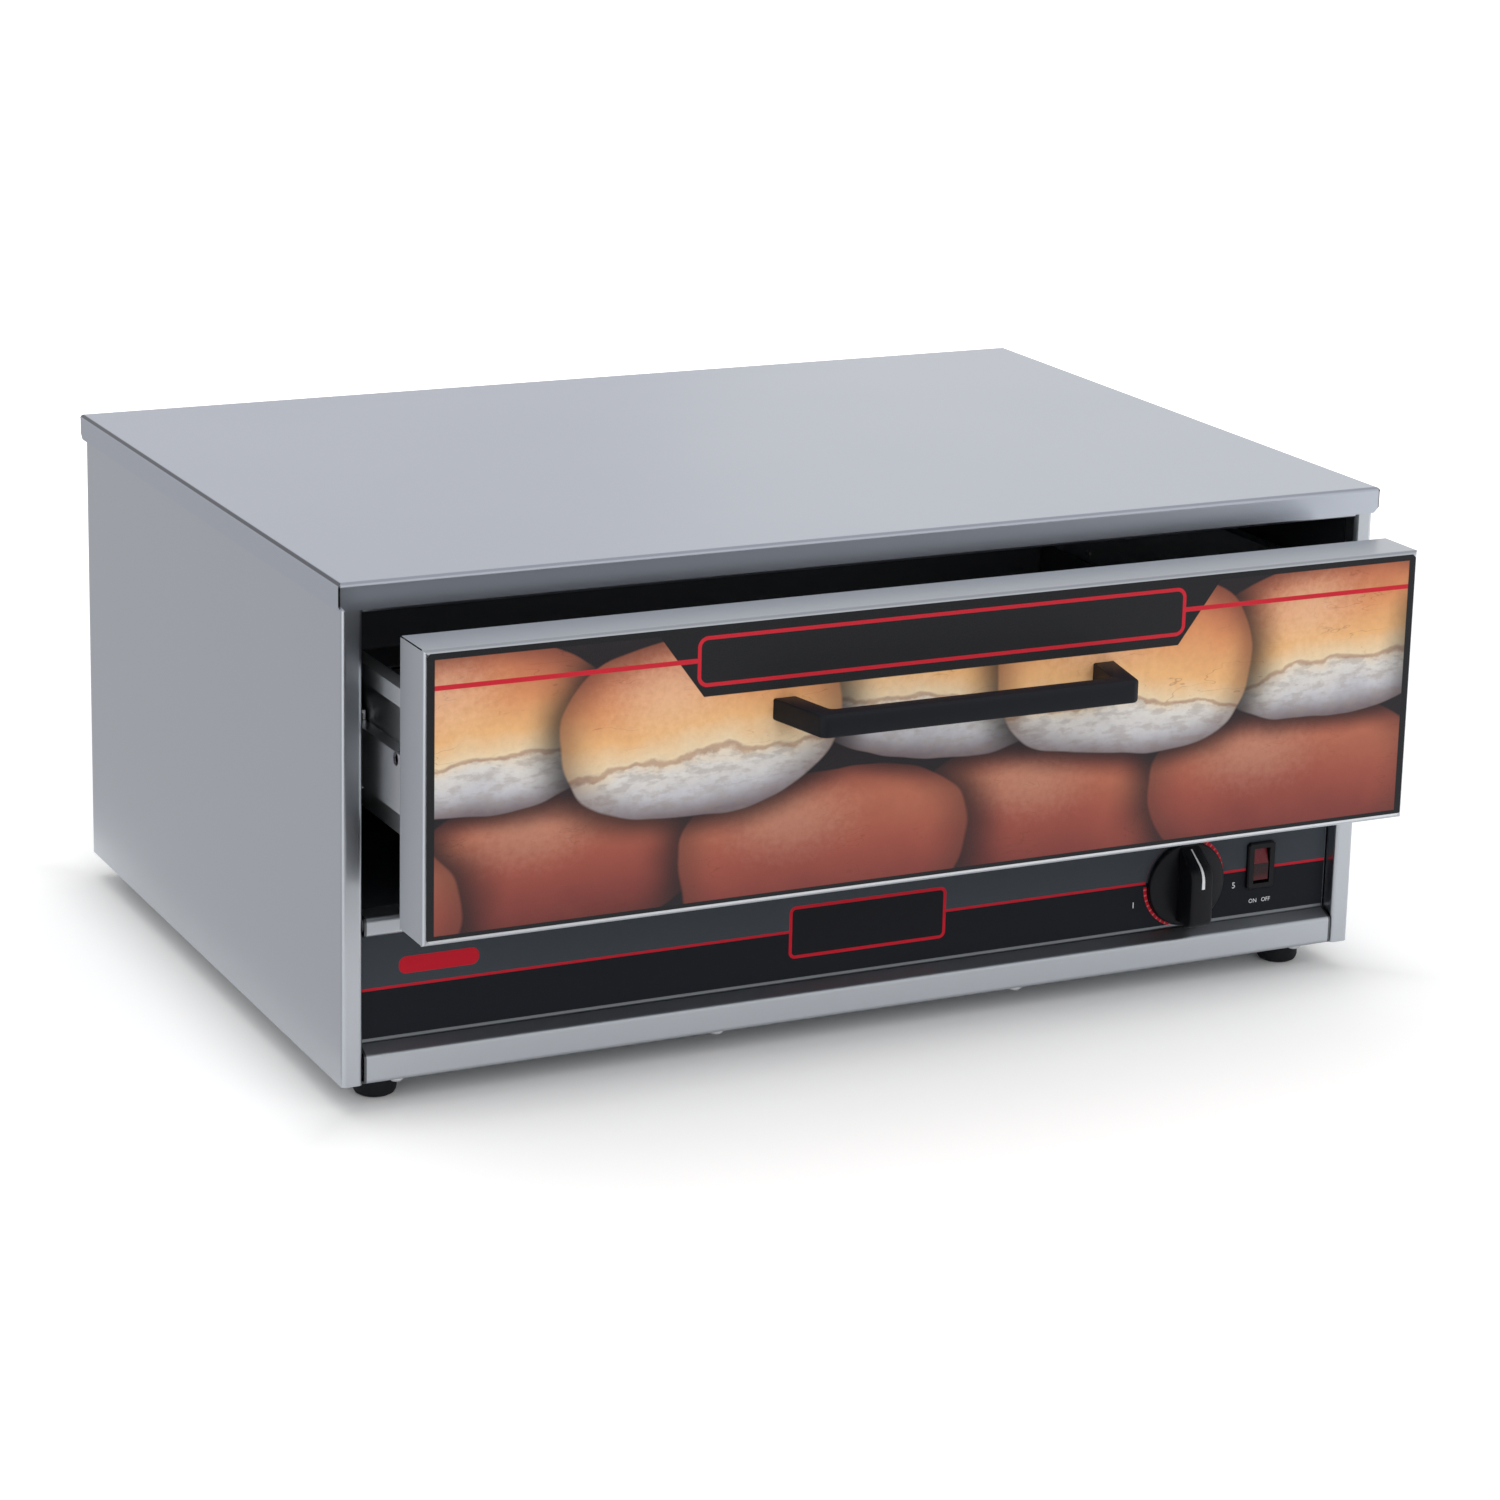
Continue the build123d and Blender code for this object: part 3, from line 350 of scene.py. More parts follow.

# %% [markdown]
# ## The rocker's red lens
# The rocker is a translucent red moulding, unlit. Its upper half faces the light and is the
# brightest part, the crease between its halves is nearly black, and some light gathers at
# the lower end of the other half. Light inside the plastic could be traced, but that is slow
# and leaves noise, so this light and shade are painted into the colour by height: a painted
# highlight on the upper half, painted shade in the crease and a painted glow below.

# %% Red lens
graph, shader = new_material("rocker_lens")
_, _, z, where = place(graph)
switch_middle = side_z + 42.0 * MM
height = (z - switch_middle) / MM
# Painted highlight on the upper half, painted shade in the crease, and a painted glow at the lower
# end.
upper = soft_step(height, 0.4, 1.0)
crease = soft_step(abs(height - 0.2), 1.2, 0.5)
glow = soft_step(height, -3.0, -7.0)
ribs = noise(where, 700, 1.0, 0.5)
colour = mix(glow, (0.022, 0.003, 0.005), (0.075, 0.006, 0.010))
colour = mix(upper, colour, (0.150, 0.015, 0.022))
colour = mix(crease * 0.8, colour, (0.006, 0.003, 0.004))
feed(
    graph, shader, Base_Color=colour, Roughness=0.22 + ribs * 0.08, Specular_IOR_Level=0.2,
    Coat_Weight=0.1,
)
print("red lens drawn with", len(graph.tree.nodes), "nodes")

# %% [markdown]
# ## The printed drawer front
# The film on the drawer carries a picture in warm bread colours, framed in black, with a
# dark plate at its top middle and a thin red stripe to each side. The picture is a pattern
# of our own: long rolls lie in two rows, golden with a pale cut side above and brick red
# below. One roll is a "superellipse", a circle whose sides have been straightened, and its
# colour is read from a ramp that runs from its lower edge to its top. A row is two sets of
# every second roll, so that neighbours can overlap. Each roll's own throw of the dice moves,
# leans and tints it a little. All lengths are in millimetres.

# %% A set of rolls
def superellipse(across, along, power):
    """0 in the middle of a rolled shape and 1 on its edge."""
    return (abs(across) ** power + abs(along) ** power) ** (1 / power)


def set_of_rolls(graph, x, z, wobble, pitch, start, middle, half_long, half_tall, seed):
    """Every second roll of a row: distance to the edge, and the place on it from -1 to 1."""
    run = (x - start) / pitch
    cell = run.math("FLOOR", run)
    throw = graph.node("ShaderNodeTexWhiteNoise", {"noise_dimensions": "2D"}, {
        "Vector": graph.node("ShaderNodeCombineXYZ", None, {0: cell, 1: seed})
    }, 1)
    dice = [throw.node("ShaderNodeSeparateXYZ", None, {0: throw}, n) - 0.5 for n in range(3)]
    along = (run - cell - 0.5) * pitch + dice[0] * 10
    up = z - middle - dice[1] * 9
    lean = dice[2] * 0.26
    u = (along + up * lean) / half_long
    v = (up - along * lean) / half_tall
    reach = superellipse(u, v, 2.6) + (wobble - 0.5) * 0.26
    return reach, u, v, dice[0]


# %% One set laid on the picture
def lay_rolls(picture, rolls, stops, grains, slit):
    """The picture with one set of rolls laid on it, each with a soft shadow round it."""
    reach, u, v, chance = rolls
    mottle, crust, crumb, creases = grains
    rise = v * 0.5 + 0.5 + (mottle - 0.5) * 0.22 + chance * 0.08 + u * u * 0.06
    body = rise.node("ShaderNodeValToRGB", {"stops": stops}, {0: rise})
    pale = soft_step(rise, slit + 0.03, slit - 0.02)
    body = mix(pale * soft_step(crumb, 0.45, 0.62) * 0.5, body, (0.40, 0.36, 0.34))
    lip = soft_step(abs(rise - slit + (crust - 0.5) * 0.03), 0.022, 0.004)
    body = mix(lip * 0.55, body, (0.33, 0.15, 0.08))
    body = mix(creases * (1 - pale) * 0.35, body, (0.16, 0.04, 0.02))
    glint = soft_step(superellipse(u + 0.22, v - 0.42, 2.0) + (crust - 0.5) * 0.5, 0.62, 0.0)
    body = mix(glint * (0.28 if slit > 0 else 0.12), body, (1.0, 0.80, 0.58))
    body = mix(soft_step(crust, 0.35, 0.75) * 0.10, body, (0.20, 0.07, 0.03))
    body = mix(soft_step(reach, 0.70, 1.03) * 0.62, body, (0.085, 0.028, 0.024))
    picture = mix(soft_step(reach, 1.30, 0.97) * 0.85, picture, (0.012, 0.009, 0.012))
    return mix(soft_step(reach, 1.0, 0.975), picture, body)


# %% Where a point of a film lies
def film_place(graph):
    """The drawing's x and z in millimetres, and both as one vector."""
    x, _, z, _ = place(graph)
    x = x / MM
    z = (z - side_z) / MM
    return x, z, graph.node("ShaderNodeCombineXYZ", None, {0: x, 1: z})


# %% The grains that all rolls share
graph, shader = new_material("print_film")
x, z, millimetres = film_place(graph)
mottle = noise(millimetres, 0.035, 3.0, 0.5)
crust = noise(millimetres, 0.30, 5.0, 0.65)
crumb = noise(millimetres, 0.16, 4.0, 0.6, stretch=(0.6, 1.5, 1))
veins = noise(millimetres, 0.05, 3.0, 0.6, stretch=(0.45, 1.5, 1))
creases = soft_step(abs(veins - 0.5), 0.008, 0.0) * soft_step(mottle, 0.48, 0.60)
grains = mottle, crust, crumb, creases
wobble = noise(millimetres, 0.018, 2.0, 0.5)

# %% Two rows of rolls, brick red below and golden above
brick = [
    (0.0, (0.09, 0.017, 0.017)), (0.25, (0.22, 0.045, 0.038)), (0.5, (0.34, 0.080, 0.055)),
    (0.75, (0.45, 0.140, 0.082)), (1.0, (0.31, 0.068, 0.050)),
]
gold = [
    (0.0, (0.29, 0.28, 0.32)), (0.14, (0.56, 0.56, 0.60)), (0.27, (0.74, 0.71, 0.67)),
    (0.36, (0.84, 0.66, 0.43)), (0.50, (0.85, 0.48, 0.21)), (0.70, (0.72, 0.30, 0.125)),
    (0.87, (0.54, 0.175, 0.085)), (1.0, (0.40, 0.11, 0.060)),
]
picture = mix(soft_step(mottle, 0.3, 0.7), (0.010, 0.008, 0.012), (0.026, 0.018, 0.022))
for palette, slit, middle, half_long, half_tall, pitch, start, seed in (
    (brick, -0.2, 108, 70, 35, 236, -300, 3.0), (brick, -0.2, 103, 72, 38, 236, -182, 5.0),
    (gold, 0.335, 171, 64, 37, 212, -330, 7.0), (gold, 0.335, 166, 66, 40, 212, -224, 11.0),
):
    rolls = set_of_rolls(graph, x, z, wobble, pitch, start, middle, half_long, half_tall, seed)
    picture = lay_rolls(picture, rolls, palette, grains, slit)
print("picture drawn with", len(graph.tree.nodes), "nodes")

# %% [markdown]
# The frame of the film is drawn with distances. A rounded rectangle's outline is where the
# distance to it is under half a line's width; the plate is where the distance to the middle
# is under a half-width that grows with height, which makes its sloping ends.

# %% A rounded rectangle as a mask
def rounded_outline(x, z, middle_x, middle_z, half_x, half_z, corner, line):
    """The line round a rounded rectangle, and what lies inside it."""
    over_x = abs(x - middle_x) - (half_x - corner)
    over_z = abs(z - middle_z) - (half_z - corner)
    outside = (larger(over_x, 0) ** 2 + larger(over_z, 0) ** 2) ** 0.5
    inside = smaller(larger(over_x, over_z), 0)
    distance = outside + inside - corner
    blur = 0.15
    on_line = 1 - soft_step(abs(distance), line / 2 - blur, line / 2 + blur)
    return on_line, 1 - soft_step(distance, -blur, blur)


# %% Frame, plate and stripes of the drawer's film
black = (0.006, 0.0065, 0.009)
red = (0.57, 0.008, 0.024)
# The plate's half width and height at its foot, and at the picture's top edge.
foot_half, foot_z, top_half, top_z = 117.0, 176.2, 137.9, 204.4
slope = (top_half - foot_half) / (top_z - foot_z)
plate = 1 - soft_step(abs(x) - (foot_half + (z - foot_z) * slope), -0.2, 0.2)
plate = plate * soft_step(z, foot_z - 0.2, foot_z + 0.2)
frame_line, _ = rounded_outline(
    x, z, middle_x=0, middle_z=191.6, half_x=119.4, half_z=10.3, corner=4.0, line=1.7
)
stripe = (1 - soft_step(abs(z - 192.3), 0.90, 1.25)) * soft_step(abs(x), 119.6, 119.9)
inside_picture = (1 - soft_step(abs(x), 239.0, 239.4)) * soft_step(z, 85.0, 85.4)
inside_picture = inside_picture * (1 - soft_step(z, top_z - 0.2, top_z + 0.2))

colour = mix(plate, picture, black)
colour = mix(stripe, colour, red)
colour = mix(inside_picture, black, colour)
colour = mix(frame_line, colour, red)
dots = noise(millimetres, 2.2, 2.0, 0.5)
colour = mix(dots * 0.06, colour, (0.5, 0.5, 0.5))
# The film's lowest millimetre is clear, so the steel shows through.
clear = soft_step(z, 83.4, 83.2)
feed(
    graph, shader, Base_Color=mix(clear, colour, (0.66, 0.68, 0.71)), Metallic=clear,
    Roughness=0.34 + dots * 0.10, Normal=bump(dots, 0.006 * MM), Specular_IOR_Level=0.12,
)
print("drawer film drawn with", len(graph.tree.nodes), "nodes")

# %% [markdown]
# ## The control panel's film
# The panel is slate grey above a thin red pinstripe and darker below it. The stripe breaks
# for a framed badge in the middle, which is left bare, and for the dial round the knob. A
# small red lozenge sits at the left end, bare as well.

# %% Stripe, badge and lozenge
graph, shader = new_material("panel_film")
x, z, millimetres = film_place(graph)
stripe_z = 40.3
knob_x, knob_z = 168.4, 38.3
dial_radius = 21.3
badge_line, badge_inside = rounded_outline(
    x, z, middle_x=0, middle_z=39.75, half_x=39.5, half_z=11.7, corner=2.5, line=1.5
)
_, lozenge = rounded_outline(
    x, z, middle_x=-210.3, middle_z=49.5, half_x=18.7, half_z=3.9, corner=3.4, line=1.0
)
from_knob = ((x - knob_x) ** 2 + (z - knob_z) ** 2) ** 0.5
pinstripe = 1 - soft_step(abs(z - stripe_z), 0.42, 0.78)
pinstripe = pinstripe * soft_step(from_knob, dial_radius - 0.2, dial_radius + 0.2)
pinstripe = pinstripe * (1 - badge_inside)
upper = soft_step(z, stripe_z - 0.2, stripe_z + 0.2)
print("stripe at", stripe_z, "mm; dial of", dial_radius, "mm round the knob")

# %% [markdown]
# The dial is two arcs of changing width. Degrees run clockwise from twelve o'clock. The
# right arc starts at 28 degrees, runs for 94 and thins from 2.6 to 0.5 mm. The left one
# starts at -90 degrees, runs the other way for 102 and thins from 1.7 to 0.9 mm. Pale
# notches cross both, one to every 7.5 degrees.

# %% The dial, and the panel's colours
degrees = (x - knob_x).math("ARCTAN2", x - knob_x, z - knob_z) * (180 / math.pi)
right_turn = (degrees - 28) / 94
left_turn = (-90 - degrees + 360 * (degrees > 90)) / 102
right_swell = (2.6 - right_turn * 2.1) * (right_turn > 0) * (right_turn < 1)
left_swell = (1.7 - left_turn * 0.8) * (left_turn > 0) * (left_turn < 1)
swell = larger(right_swell, left_swell)
dial_arc = soft_step(swell / 2 - abs(from_knob - dial_radius), -0.1, 0.1)
beat = (degrees / 7.5).math("FRACT", degrees / 7.5)
notches = soft_step(abs(beat - 0.5), 0.20, 0.04)
colour = mix(upper, (0.0045, 0.006, 0.0105), (0.047, 0.056, 0.068))
colour = mix(badge_inside, colour, (0.0045, 0.0055, 0.009))
colour = mix(pinstripe, colour, red)
colour = mix(badge_line, colour, red)
colour = mix(lozenge, colour, red)
colour = mix(dial_arc, colour, red)
colour = mix(dial_arc * notches * 0.4, colour, (0.80, 0.35, 0.36))
grain = noise(millimetres, 2.5, 2.0, 0.5)
feed(
    graph, shader, Base_Color=mix(grain * 0.05, colour, (0.3, 0.3, 0.3)),
    Roughness=0.40 + grain * 0.08, Normal=bump(grain, 0.008 * MM), Specular_IOR_Level=0.07,
)
print("panel film drawn with", len(graph.tree.nodes), "nodes")

# %% [markdown]
# ## Dressing the CAD pieces
# Each CAD piece names its material slot in the record, so one loop gives every piece its
# finish. The lid and the fascia get their own steels, which carry painted shade. The pieces'
# meshes aren't touched.

# %% Finish every CAD piece
own_steel = {"lid": "lid_steel", "front_fascia": "fascia_steel"}
subparts = frame["record"]["subparts"]
for part in subparts:
    piece = nodes[part["node"]]
    piece.data.materials.clear()
    piece.data.materials.append(finishes[own_steel.get(part["node"], part["material_slot"])])
print("dressed", len(subparts), "pieces")

# %% [markdown]
# ## Shapes from an outline
# Three bought-in pieces are better made again than dressed: the pull, the knob and the
# feet, whose rounded rims catch the light. The pull and the knob's grip are both a flat
# outline given a thickness with rounded rims. The outline's own corners are arcs.

# %% Outlines with rounded corners
def arc_corners(points, radii, steps=8):
    """The outline with each corner turned into an arc of its own radius."""
    out = []
    for n, corner in enumerate(points):
        before = Vector(points[n - 1]) - Vector(corner)
        after = Vector(points[(n + 1) % len(points)]) - Vector(corner)
        if radii[n] == 0:
            out.append(tuple(corner))
            continue
        half = before.angle(after) / 2
        reach = radii[n] / math.tan(half)
        start = Vector(corner) + before.normalized() * reach
        end = Vector(corner) + after.normalized() * reach
        inwards = (before.normalized() + after.normalized()).normalized()
        centre = Vector(corner) + inwards * radii[n] / math.sin(half)
        sweep = (start - centre).angle(end - centre)
        for step in range(steps + 1):
            share = step / steps
            a = math.sin((1 - share) * sweep) / math.sin(sweep)
            b = math.sin(share * sweep) / math.sin(sweep)
            out.append(tuple(centre + (start - centre) * a + (end - centre) * b))
    return out


# %% Prisms and turned shapes
def prism(outline, bottom, top, rim):
    """The outline raised from bottom to top in a bmesh, its rims rounded."""
    def lies_at(edge, level):
        return all(abs(v.co.z - level) < 1e-9 for v in edge.verts)

    shape = bmesh.new()
    floor_face = shape.faces.new([shape.verts.new((x, y, bottom)) for x, y in outline])
    raised = bmesh.ops.extrude_face_region(shape, geom=[floor_face])["geom"]
    moved = [v for v in raised if isinstance(v, bmesh.types.BMVert)]
    bmesh.ops.translate(shape, verts=moved, vec=(0, 0, top - bottom))
    rims = [e for e in shape.edges if lies_at(e, bottom) or lies_at(e, top)]
    bmesh.ops.bevel(shape, geom=rims, offset=rim, segments=3, profile=0.5, affect="EDGES")
    bmesh.ops.recalc_face_normals(shape, faces=shape.faces)
    return shape


def turned(profile, sides):
    """A closed profile of radius and height turned round the z axis, in a bmesh."""
    shape = bmesh.new()
    loop = [shape.verts.new((r, 0, h)) for r, h in profile]
    edges = [shape.edges.new((loop[n], loop[(n + 1) % len(loop)])) for n in range(len(loop))]
    bmesh.ops.spin(
        shape, geom=loop + edges, axis=(0, 0, 1), cent=(0, 0, 0), angle=2 * math.pi,
        steps=sides, use_merge=True,
    )
    bmesh.ops.remove_doubles(shape, verts=shape.verts, dist=1e-4)
    bmesh.ops.recalc_face_normals(shape, faces=shape.faces)
    return shape


def dress(name, mesh, finish, body, stands_for=()):
    """A smooth piece that rides on its body, in place of the CAD nodes it stands for."""
    mesh.polygons.foreach_set("use_smooth", [True] * len(mesh.polygons))
    mesh.set_sharp_from_angle(angle=math.radians(32))
    mesh.materials.clear()
    mesh.materials.append(finishes[finish])
    piece = bpy.data.objects.new(name, mesh)
    bpy.context.scene.collection.objects.link(piece)
    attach(piece, body)
    if stands_for:
        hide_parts(*stands_for)
    print(name, "has", len(mesh.polygons), "faces")


def make_piece(name, shape, where, finish, body, stands_for=()):
    """A bmesh in millimetres, moved to its place and dressed."""
    shape.transform(where @ Matrix.Scale(MM, 4))
    mesh = bpy.data.meshes.new(name)
    shape.to_mesh(mesh)
    shape.free()
    dress(name, mesh, finish, body, stands_for)


# %% [markdown]
# ## The pull
# The pull is a bar of square section bent to a bridge. Seen from above, its outline is a
# shallow trapezoid with an inner one taken away, and every corner is a tight bend. Powder
# coat builds up on edges, so the rims are well rounded. base and front are the half lengths
# at the drawer's face and at the grip, reach is how far it stands out, bar its thickness.

# %% Pull
base, front, reach, bar = 84.2, 77.5, 34.0, 10.0
inner_base = base - bar - 0.6
inner_front = inner_base - (base - front) * (reach - bar) / reach
pull = arc_corners(
    [(-base, 0), (-front, -reach), (front, -reach), (base, 0), (inner_base, 0),
     (inner_front, bar - reach), (-inner_front, bar - reach), (-inner_base, 0)],
    [0, 4.5, 4.5, 0, 0, 2.5, 2.5, 0],
)
pull_shape = prism(pull, -bar / 2, bar / 2, rim=1.1)
pull_place = Matrix.Translation(drawer_at(0, -0.3, 167.5))
make_piece("bar_pull", pull_shape, pull_place, "handle_coat", "drawer", ["drawer_handle"])

# %% [markdown]
# ## The knob
# A range knob is a turned skirt with a grip bar across it. The skirt is a profile spun
# round the shaft, hollow behind to clear the nut. The grip is drawn from the side: its upper
# end rises from the skirt's rim in a long curve, and a white pointer follows that curve and
# grows wider down the face.

# %% The knob's skirt
flat_to_front = Matrix.Rotation(math.pi / 2, 4, "X")
facing_out = Matrix.Translation(at(knob_x, panel_face, knob_z)) @ flat_to_front
skirt = turned(
    [(8.2, 0.8), (19.9, 0.8), (20.4, 1.1), (20.5, 1.6), (20.5, 2.7), (20.2, 3.3), (19.6, 3.7),
     (12.0, 4.3), (0.0, 4.5), (0.0, 3.7), (8.2, 3.7)], 80,
)
make_piece("knob_skirt", skirt, facing_out, "black_plastic", "knob")

# %% The knob's grip, drawn as (up, out) from the side
half_wide, grip_foot, grip_face = 6.0, 3.8, 17.4
grip_side = arc_corners(
    [(-17.8, grip_foot), (-17.8, grip_face), (9.6, grip_face), (18.9, grip_foot)],
    [0, 4.0, 9.0, 0], steps=10,
)
grip = prism(grip_side, -half_wide, half_wide, rim=1.6)
side_view = Matrix(((0, 0, 1, 0), (1, 0, 0, 0), (0, 1, 0, 0), (0, 0, 0, 1)))
make_piece("knob_grip", grip, facing_out @ side_view, "black_plastic", "knob", ["control_knob"])

# %% The pointer, a strip of paint along the grip's curve
pointer_path = [(up, out) for up, out in reversed(grip_side) if up > 5 and out > grip_foot]
pointer_path = [(17.8, 5.4)] + pointer_path + [(4.6, grip_face), (1.6, grip_face)]
pointer = bmesh.new()
rows = []
for up, out in pointer_path:
    half = 0.32 + 0.5 * min(1, (18 - up) / 14)
    rows.append([pointer.verts.new((side * half, up + 0.02, out + 0.05)) for side in (-1, 1)])
for low, high in zip(rows, rows[1:]):
    pointer.faces.new((low[0], low[1], high[1], high[0]))
bmesh.ops.recalc_face_normals(pointer, faces=pointer.faces)
bmesh.ops.solidify(pointer, geom=pointer.faces[:], thickness=-0.12)
bmesh.ops.recalc_face_normals(pointer, faces=pointer.faces)
make_piece("knob_pointer", pointer, facing_out, "white_paint", "knob")

# %% [markdown]
# ## Feet
# A moulded foot is turned as well: a straight wall, a rounded sole and a deep hole for its
# screw. All four come from one profile.

# %% Feet
for name in ("foot_front_left", "foot_front_right", "foot_rear_left", "foot_rear_right"):
    low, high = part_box(name)
    tall = (high.z - low.z) / MM
    foot = turned(
        [(2.2, tall), (9.6, tall), (9.8, tall - 0.3), (9.8, 3.4), (9.5, 2.0), (8.8, 0.8),
         (7.6, 0.1), (7.0, 0.0), (5.4, 0.0), (5.0, 0.4), (5.0, 8.8), (2.2, 8.8)], 48,
    )
    centre = Vector(((low.x + high.x) / 2, (low.y + high.y) / 2, low.z))
    make_piece("rubber_" + name, foot, Matrix.Translation(centre), "foot_rubber", "cabinet", [name])

# %% [markdown]
# ## Screws by Geometry Nodes
# The model says where each screw sits, but draws it with few flats. A real one has a pan
# head with a cross recess. What repeats is made once and placed many times: the node tree
# below takes a cloud of points, builds one screw from named sizes, and puts a copy on each
# point with a turn of its own, as a driver leaves them.

# %% The two ends of a tree
def tree_with(name, inputs):
    """A Geometry Nodes tree with named inputs; returns it and its group input's sockets."""
    tree = bpy.data.node_groups.new(name, "GeometryNodeTree")
    for title, kind in inputs.items():
        tree.interface.new_socket(name=title, in_out="INPUT", socket_type="NodeSocket" + kind)
    tree.interface.new_socket(name="Geometry", in_out="OUTPUT", socket_type="NodeSocketGeometry")
    source = tree.nodes.new("NodeGroupInput")
    return tree, {title: Socket(tree, source.outputs[title]) for title in inputs}


def close_tree(tree, geometry, finish):
    """Realize Instances, then Set Material, then the output."""
    real = geometry.node("GeometryNodeRealizeInstances", None, {0: geometry})
    painted = real.node("GeometryNodeSetMaterial", None, {"Geometry": real, "Material": finish})
    tree.links.new(painted.output, tree.nodes.new("NodeGroupOutput").inputs[0])


def vector(graph, x=0.0, y=0.0, z=0.0):
    return graph.node("ShaderNodeCombineXYZ", None, {0: x, 1: y, 2: z})


def boolean(operation, first, *others):
    """A difference takes its first mesh at a socket of its own; a union has one for all."""
    made = first.node("GeometryNodeMeshBoolean", {"operation": operation, "solver": "EXACT"})
    for one in (first, *others):
        socket = 0 if operation == "DIFFERENCE" and one is first else 1
        made.tree.links.new(one.output, made.output.node.inputs[socket])
    return made


# %% [markdown]
# The head is a drum whose rings draw in by a third towards the top. The shank starts a
# little inside the head, so that the union has something to join. Two crossed blades, each
# centred on the head's top, cut the recess.

# %% One screw
screw_tree, given = tree_with("pan_head_screws", {
    "Points": "Geometry", "Head Radius": "Float", "Head Height": "Float", "Shank Radius": "Float",
    "Shank Length": "Float", "Facing": "Rotation", "Seed": "Int", "Finish": "Material",
})
g = given["Points"]
radius, tall, long = given["Head Radius"], given["Head Height"], given["Shank Length"]
drum = g.node("GeometryNodeMeshCone", None, {
    "Vertices": 24, "Side Segments": 4, "Radius Top": radius, "Radius Bottom": radius, "Depth": tall
})
ring = g.node("GeometryNodeInputPosition")
up_the_head = g.node("ShaderNodeSeparateXYZ", None, {0: ring}, 2) / tall
draw_in = 1 - up_the_head ** 3 * 0.32
squeeze = vector(g, draw_in, draw_in, 1.0)
ring = g.node("ShaderNodeVectorMath", {"operation": "MULTIPLY"}, {0: ring, 1: squeeze})
head = g.node("GeometryNodeSetPosition", None, {"Geometry": drum, "Position": ring})
shank = g.node("GeometryNodeMeshCylinder", None, {
    "Vertices": 12, "Radius": given["Shank Radius"], "Depth": long + tall * 0.3
})
shank = g.node("GeometryNodeTransform", None, {
    "Geometry": shank, "Translation": vector(g, z=tall * 0.15 - long * 0.5)
})
blade_size = vector(g, radius * 1.1, radius * 0.2, tall * 0.9)
blade = g.node("GeometryNodeMeshCube", None, {"Size": blade_size})
blades = [
    g.node("GeometryNodeTransform", None, {
        "Geometry": blade, "Translation": vector(g, z=tall), "Rotation": (0, 0, turn)
    }) for turn in (0, math.pi / 2)
]
one_screw = boolean("DIFFERENCE", boolean("UNION", head, shank), *blades)

# %% A copy on each seat
full_turn = 6.283
copies = g.node("GeometryNodeInstanceOnPoints", None, {
    "Points": g, "Instance": one_screw, "Rotation": given["Facing"]
})
any_turn = g.node("FunctionNodeRandomValue", {"data_type": "FLOAT"}, {
    2: 0.0, 3: full_turn, "Seed": given["Seed"]
}, 1)
copies = g.node("GeometryNodeRotateInstances", None, {
    "Instances": copies, "Rotation": vector(g, z=any_turn), "Local Space": True
})
close_tree(screw_tree, copies, given["Finish"])
print("screw tree has", len(screw_tree.nodes), "nodes")

# %% [markdown]
# The tree needs the seats. A copy of each CAD screw node is merged into solids, and the
# middle of each solid's head is read from the solid's own box, on the side that it faces.
# The solids come in the order of the mesh's own vertices, so each run gives each screw the
# same turn.

# %% Read a node's solids
def solids_of(node):
    """The boxes of a CAD node's separate solids, read from a merged copy of its mesh."""
    copy = bmesh.new()
    copy.from_mesh(nodes[node].data)
    bmesh.ops.remove_doubles(copy, verts=copy.verts, dist=1e-6)
    visited = set()
    boxes = []
    for first in copy.verts:
        if first in visited:
            continue
        visited.add(first)
        reach, island = [first], []
        while reach:
            vert = reach.pop()
            island.append(vert.co.copy())
            for edge in vert.link_edges:
                other = edge.other_vert(vert)
                if other not in visited:
                    visited.add(other)
                    reach.append(other)
        boxes.append(tuple(Vector(f(c[n] for c in island) for n in range(3)) for f in (min, max)))
    copy.free()
    return boxes


# %% Run a tree
def evaluate(name, mesh, tree, values):
    """Runs a tree on a mesh and returns the result as a plain mesh."""
    carrier = bpy.data.objects.new(name, mesh)
    bpy.context.scene.collection.objects.link(carrier)
    modifier = carrier.modifiers.new(tree.name, "NODES")
    modifier.node_group = tree
    for item in tree.interface.items_tree:
        if item.name in values:
            modifier[item.identifier] = values[item.name]
    carrier.update_tag()
    bpy.context.view_layer.update()
    graph = bpy.context.evaluated_depsgraph_get()
    result = bpy.data.meshes.new_from_object(carrier.evaluated_get(graph))
    carrier.modifiers.remove(modifier)
    bpy.data.objects.remove(carrier)
    return result


# %% Screws on the seats of one node
# For each way a head can face: its turn, its axis, and the low or high side of a box.
ways = {
    "back": ((-math.pi / 2, 0, 0), 1, 1), "down": ((math.pi, 0, 0), 2, 0),
    "right": ((0, math.pi / 2, 0), 0, 1), "left": ((0, -math.pi / 2, 0), 0, 0),
}


def screws(node, facing, body, radius, height, shank, length, seed, keep=None):
    """Pan-head screws on the seats of one CAD node, or on those that keep allows."""
    turn, axis, side = ways[facing]
    seats = []
    for box in solids_of(node):
        seat = (box[0] + box[1]) / 2
        seat[axis] = box[side][axis] - (1 if side else -1) * height * MM
        if keep is None or keep(seat):
            seats.append(seat)
    points = bpy.data.meshes.new(node + "_seats")
    points.from_pydata(seats, [], [])
    mesh = evaluate(node + "_" + facing, points, screw_tree, {
        "Head Radius": radius * MM, "Head Height": height * MM, "Shank Radius": shank * MM,
        "Shank Length": length * MM, "Facing": turn, "Seed": seed,
        "Finish": finishes["screw_steel"],
    })
    name = "pan_heads_" + node + ("" if keep is None else "_" + facing)
    dress(name, mesh, "screw_steel", body, [node])


# %% All the screws
def at_right(seat):
    return seat.x > 0


def at_left(seat):
    return seat.x < 0


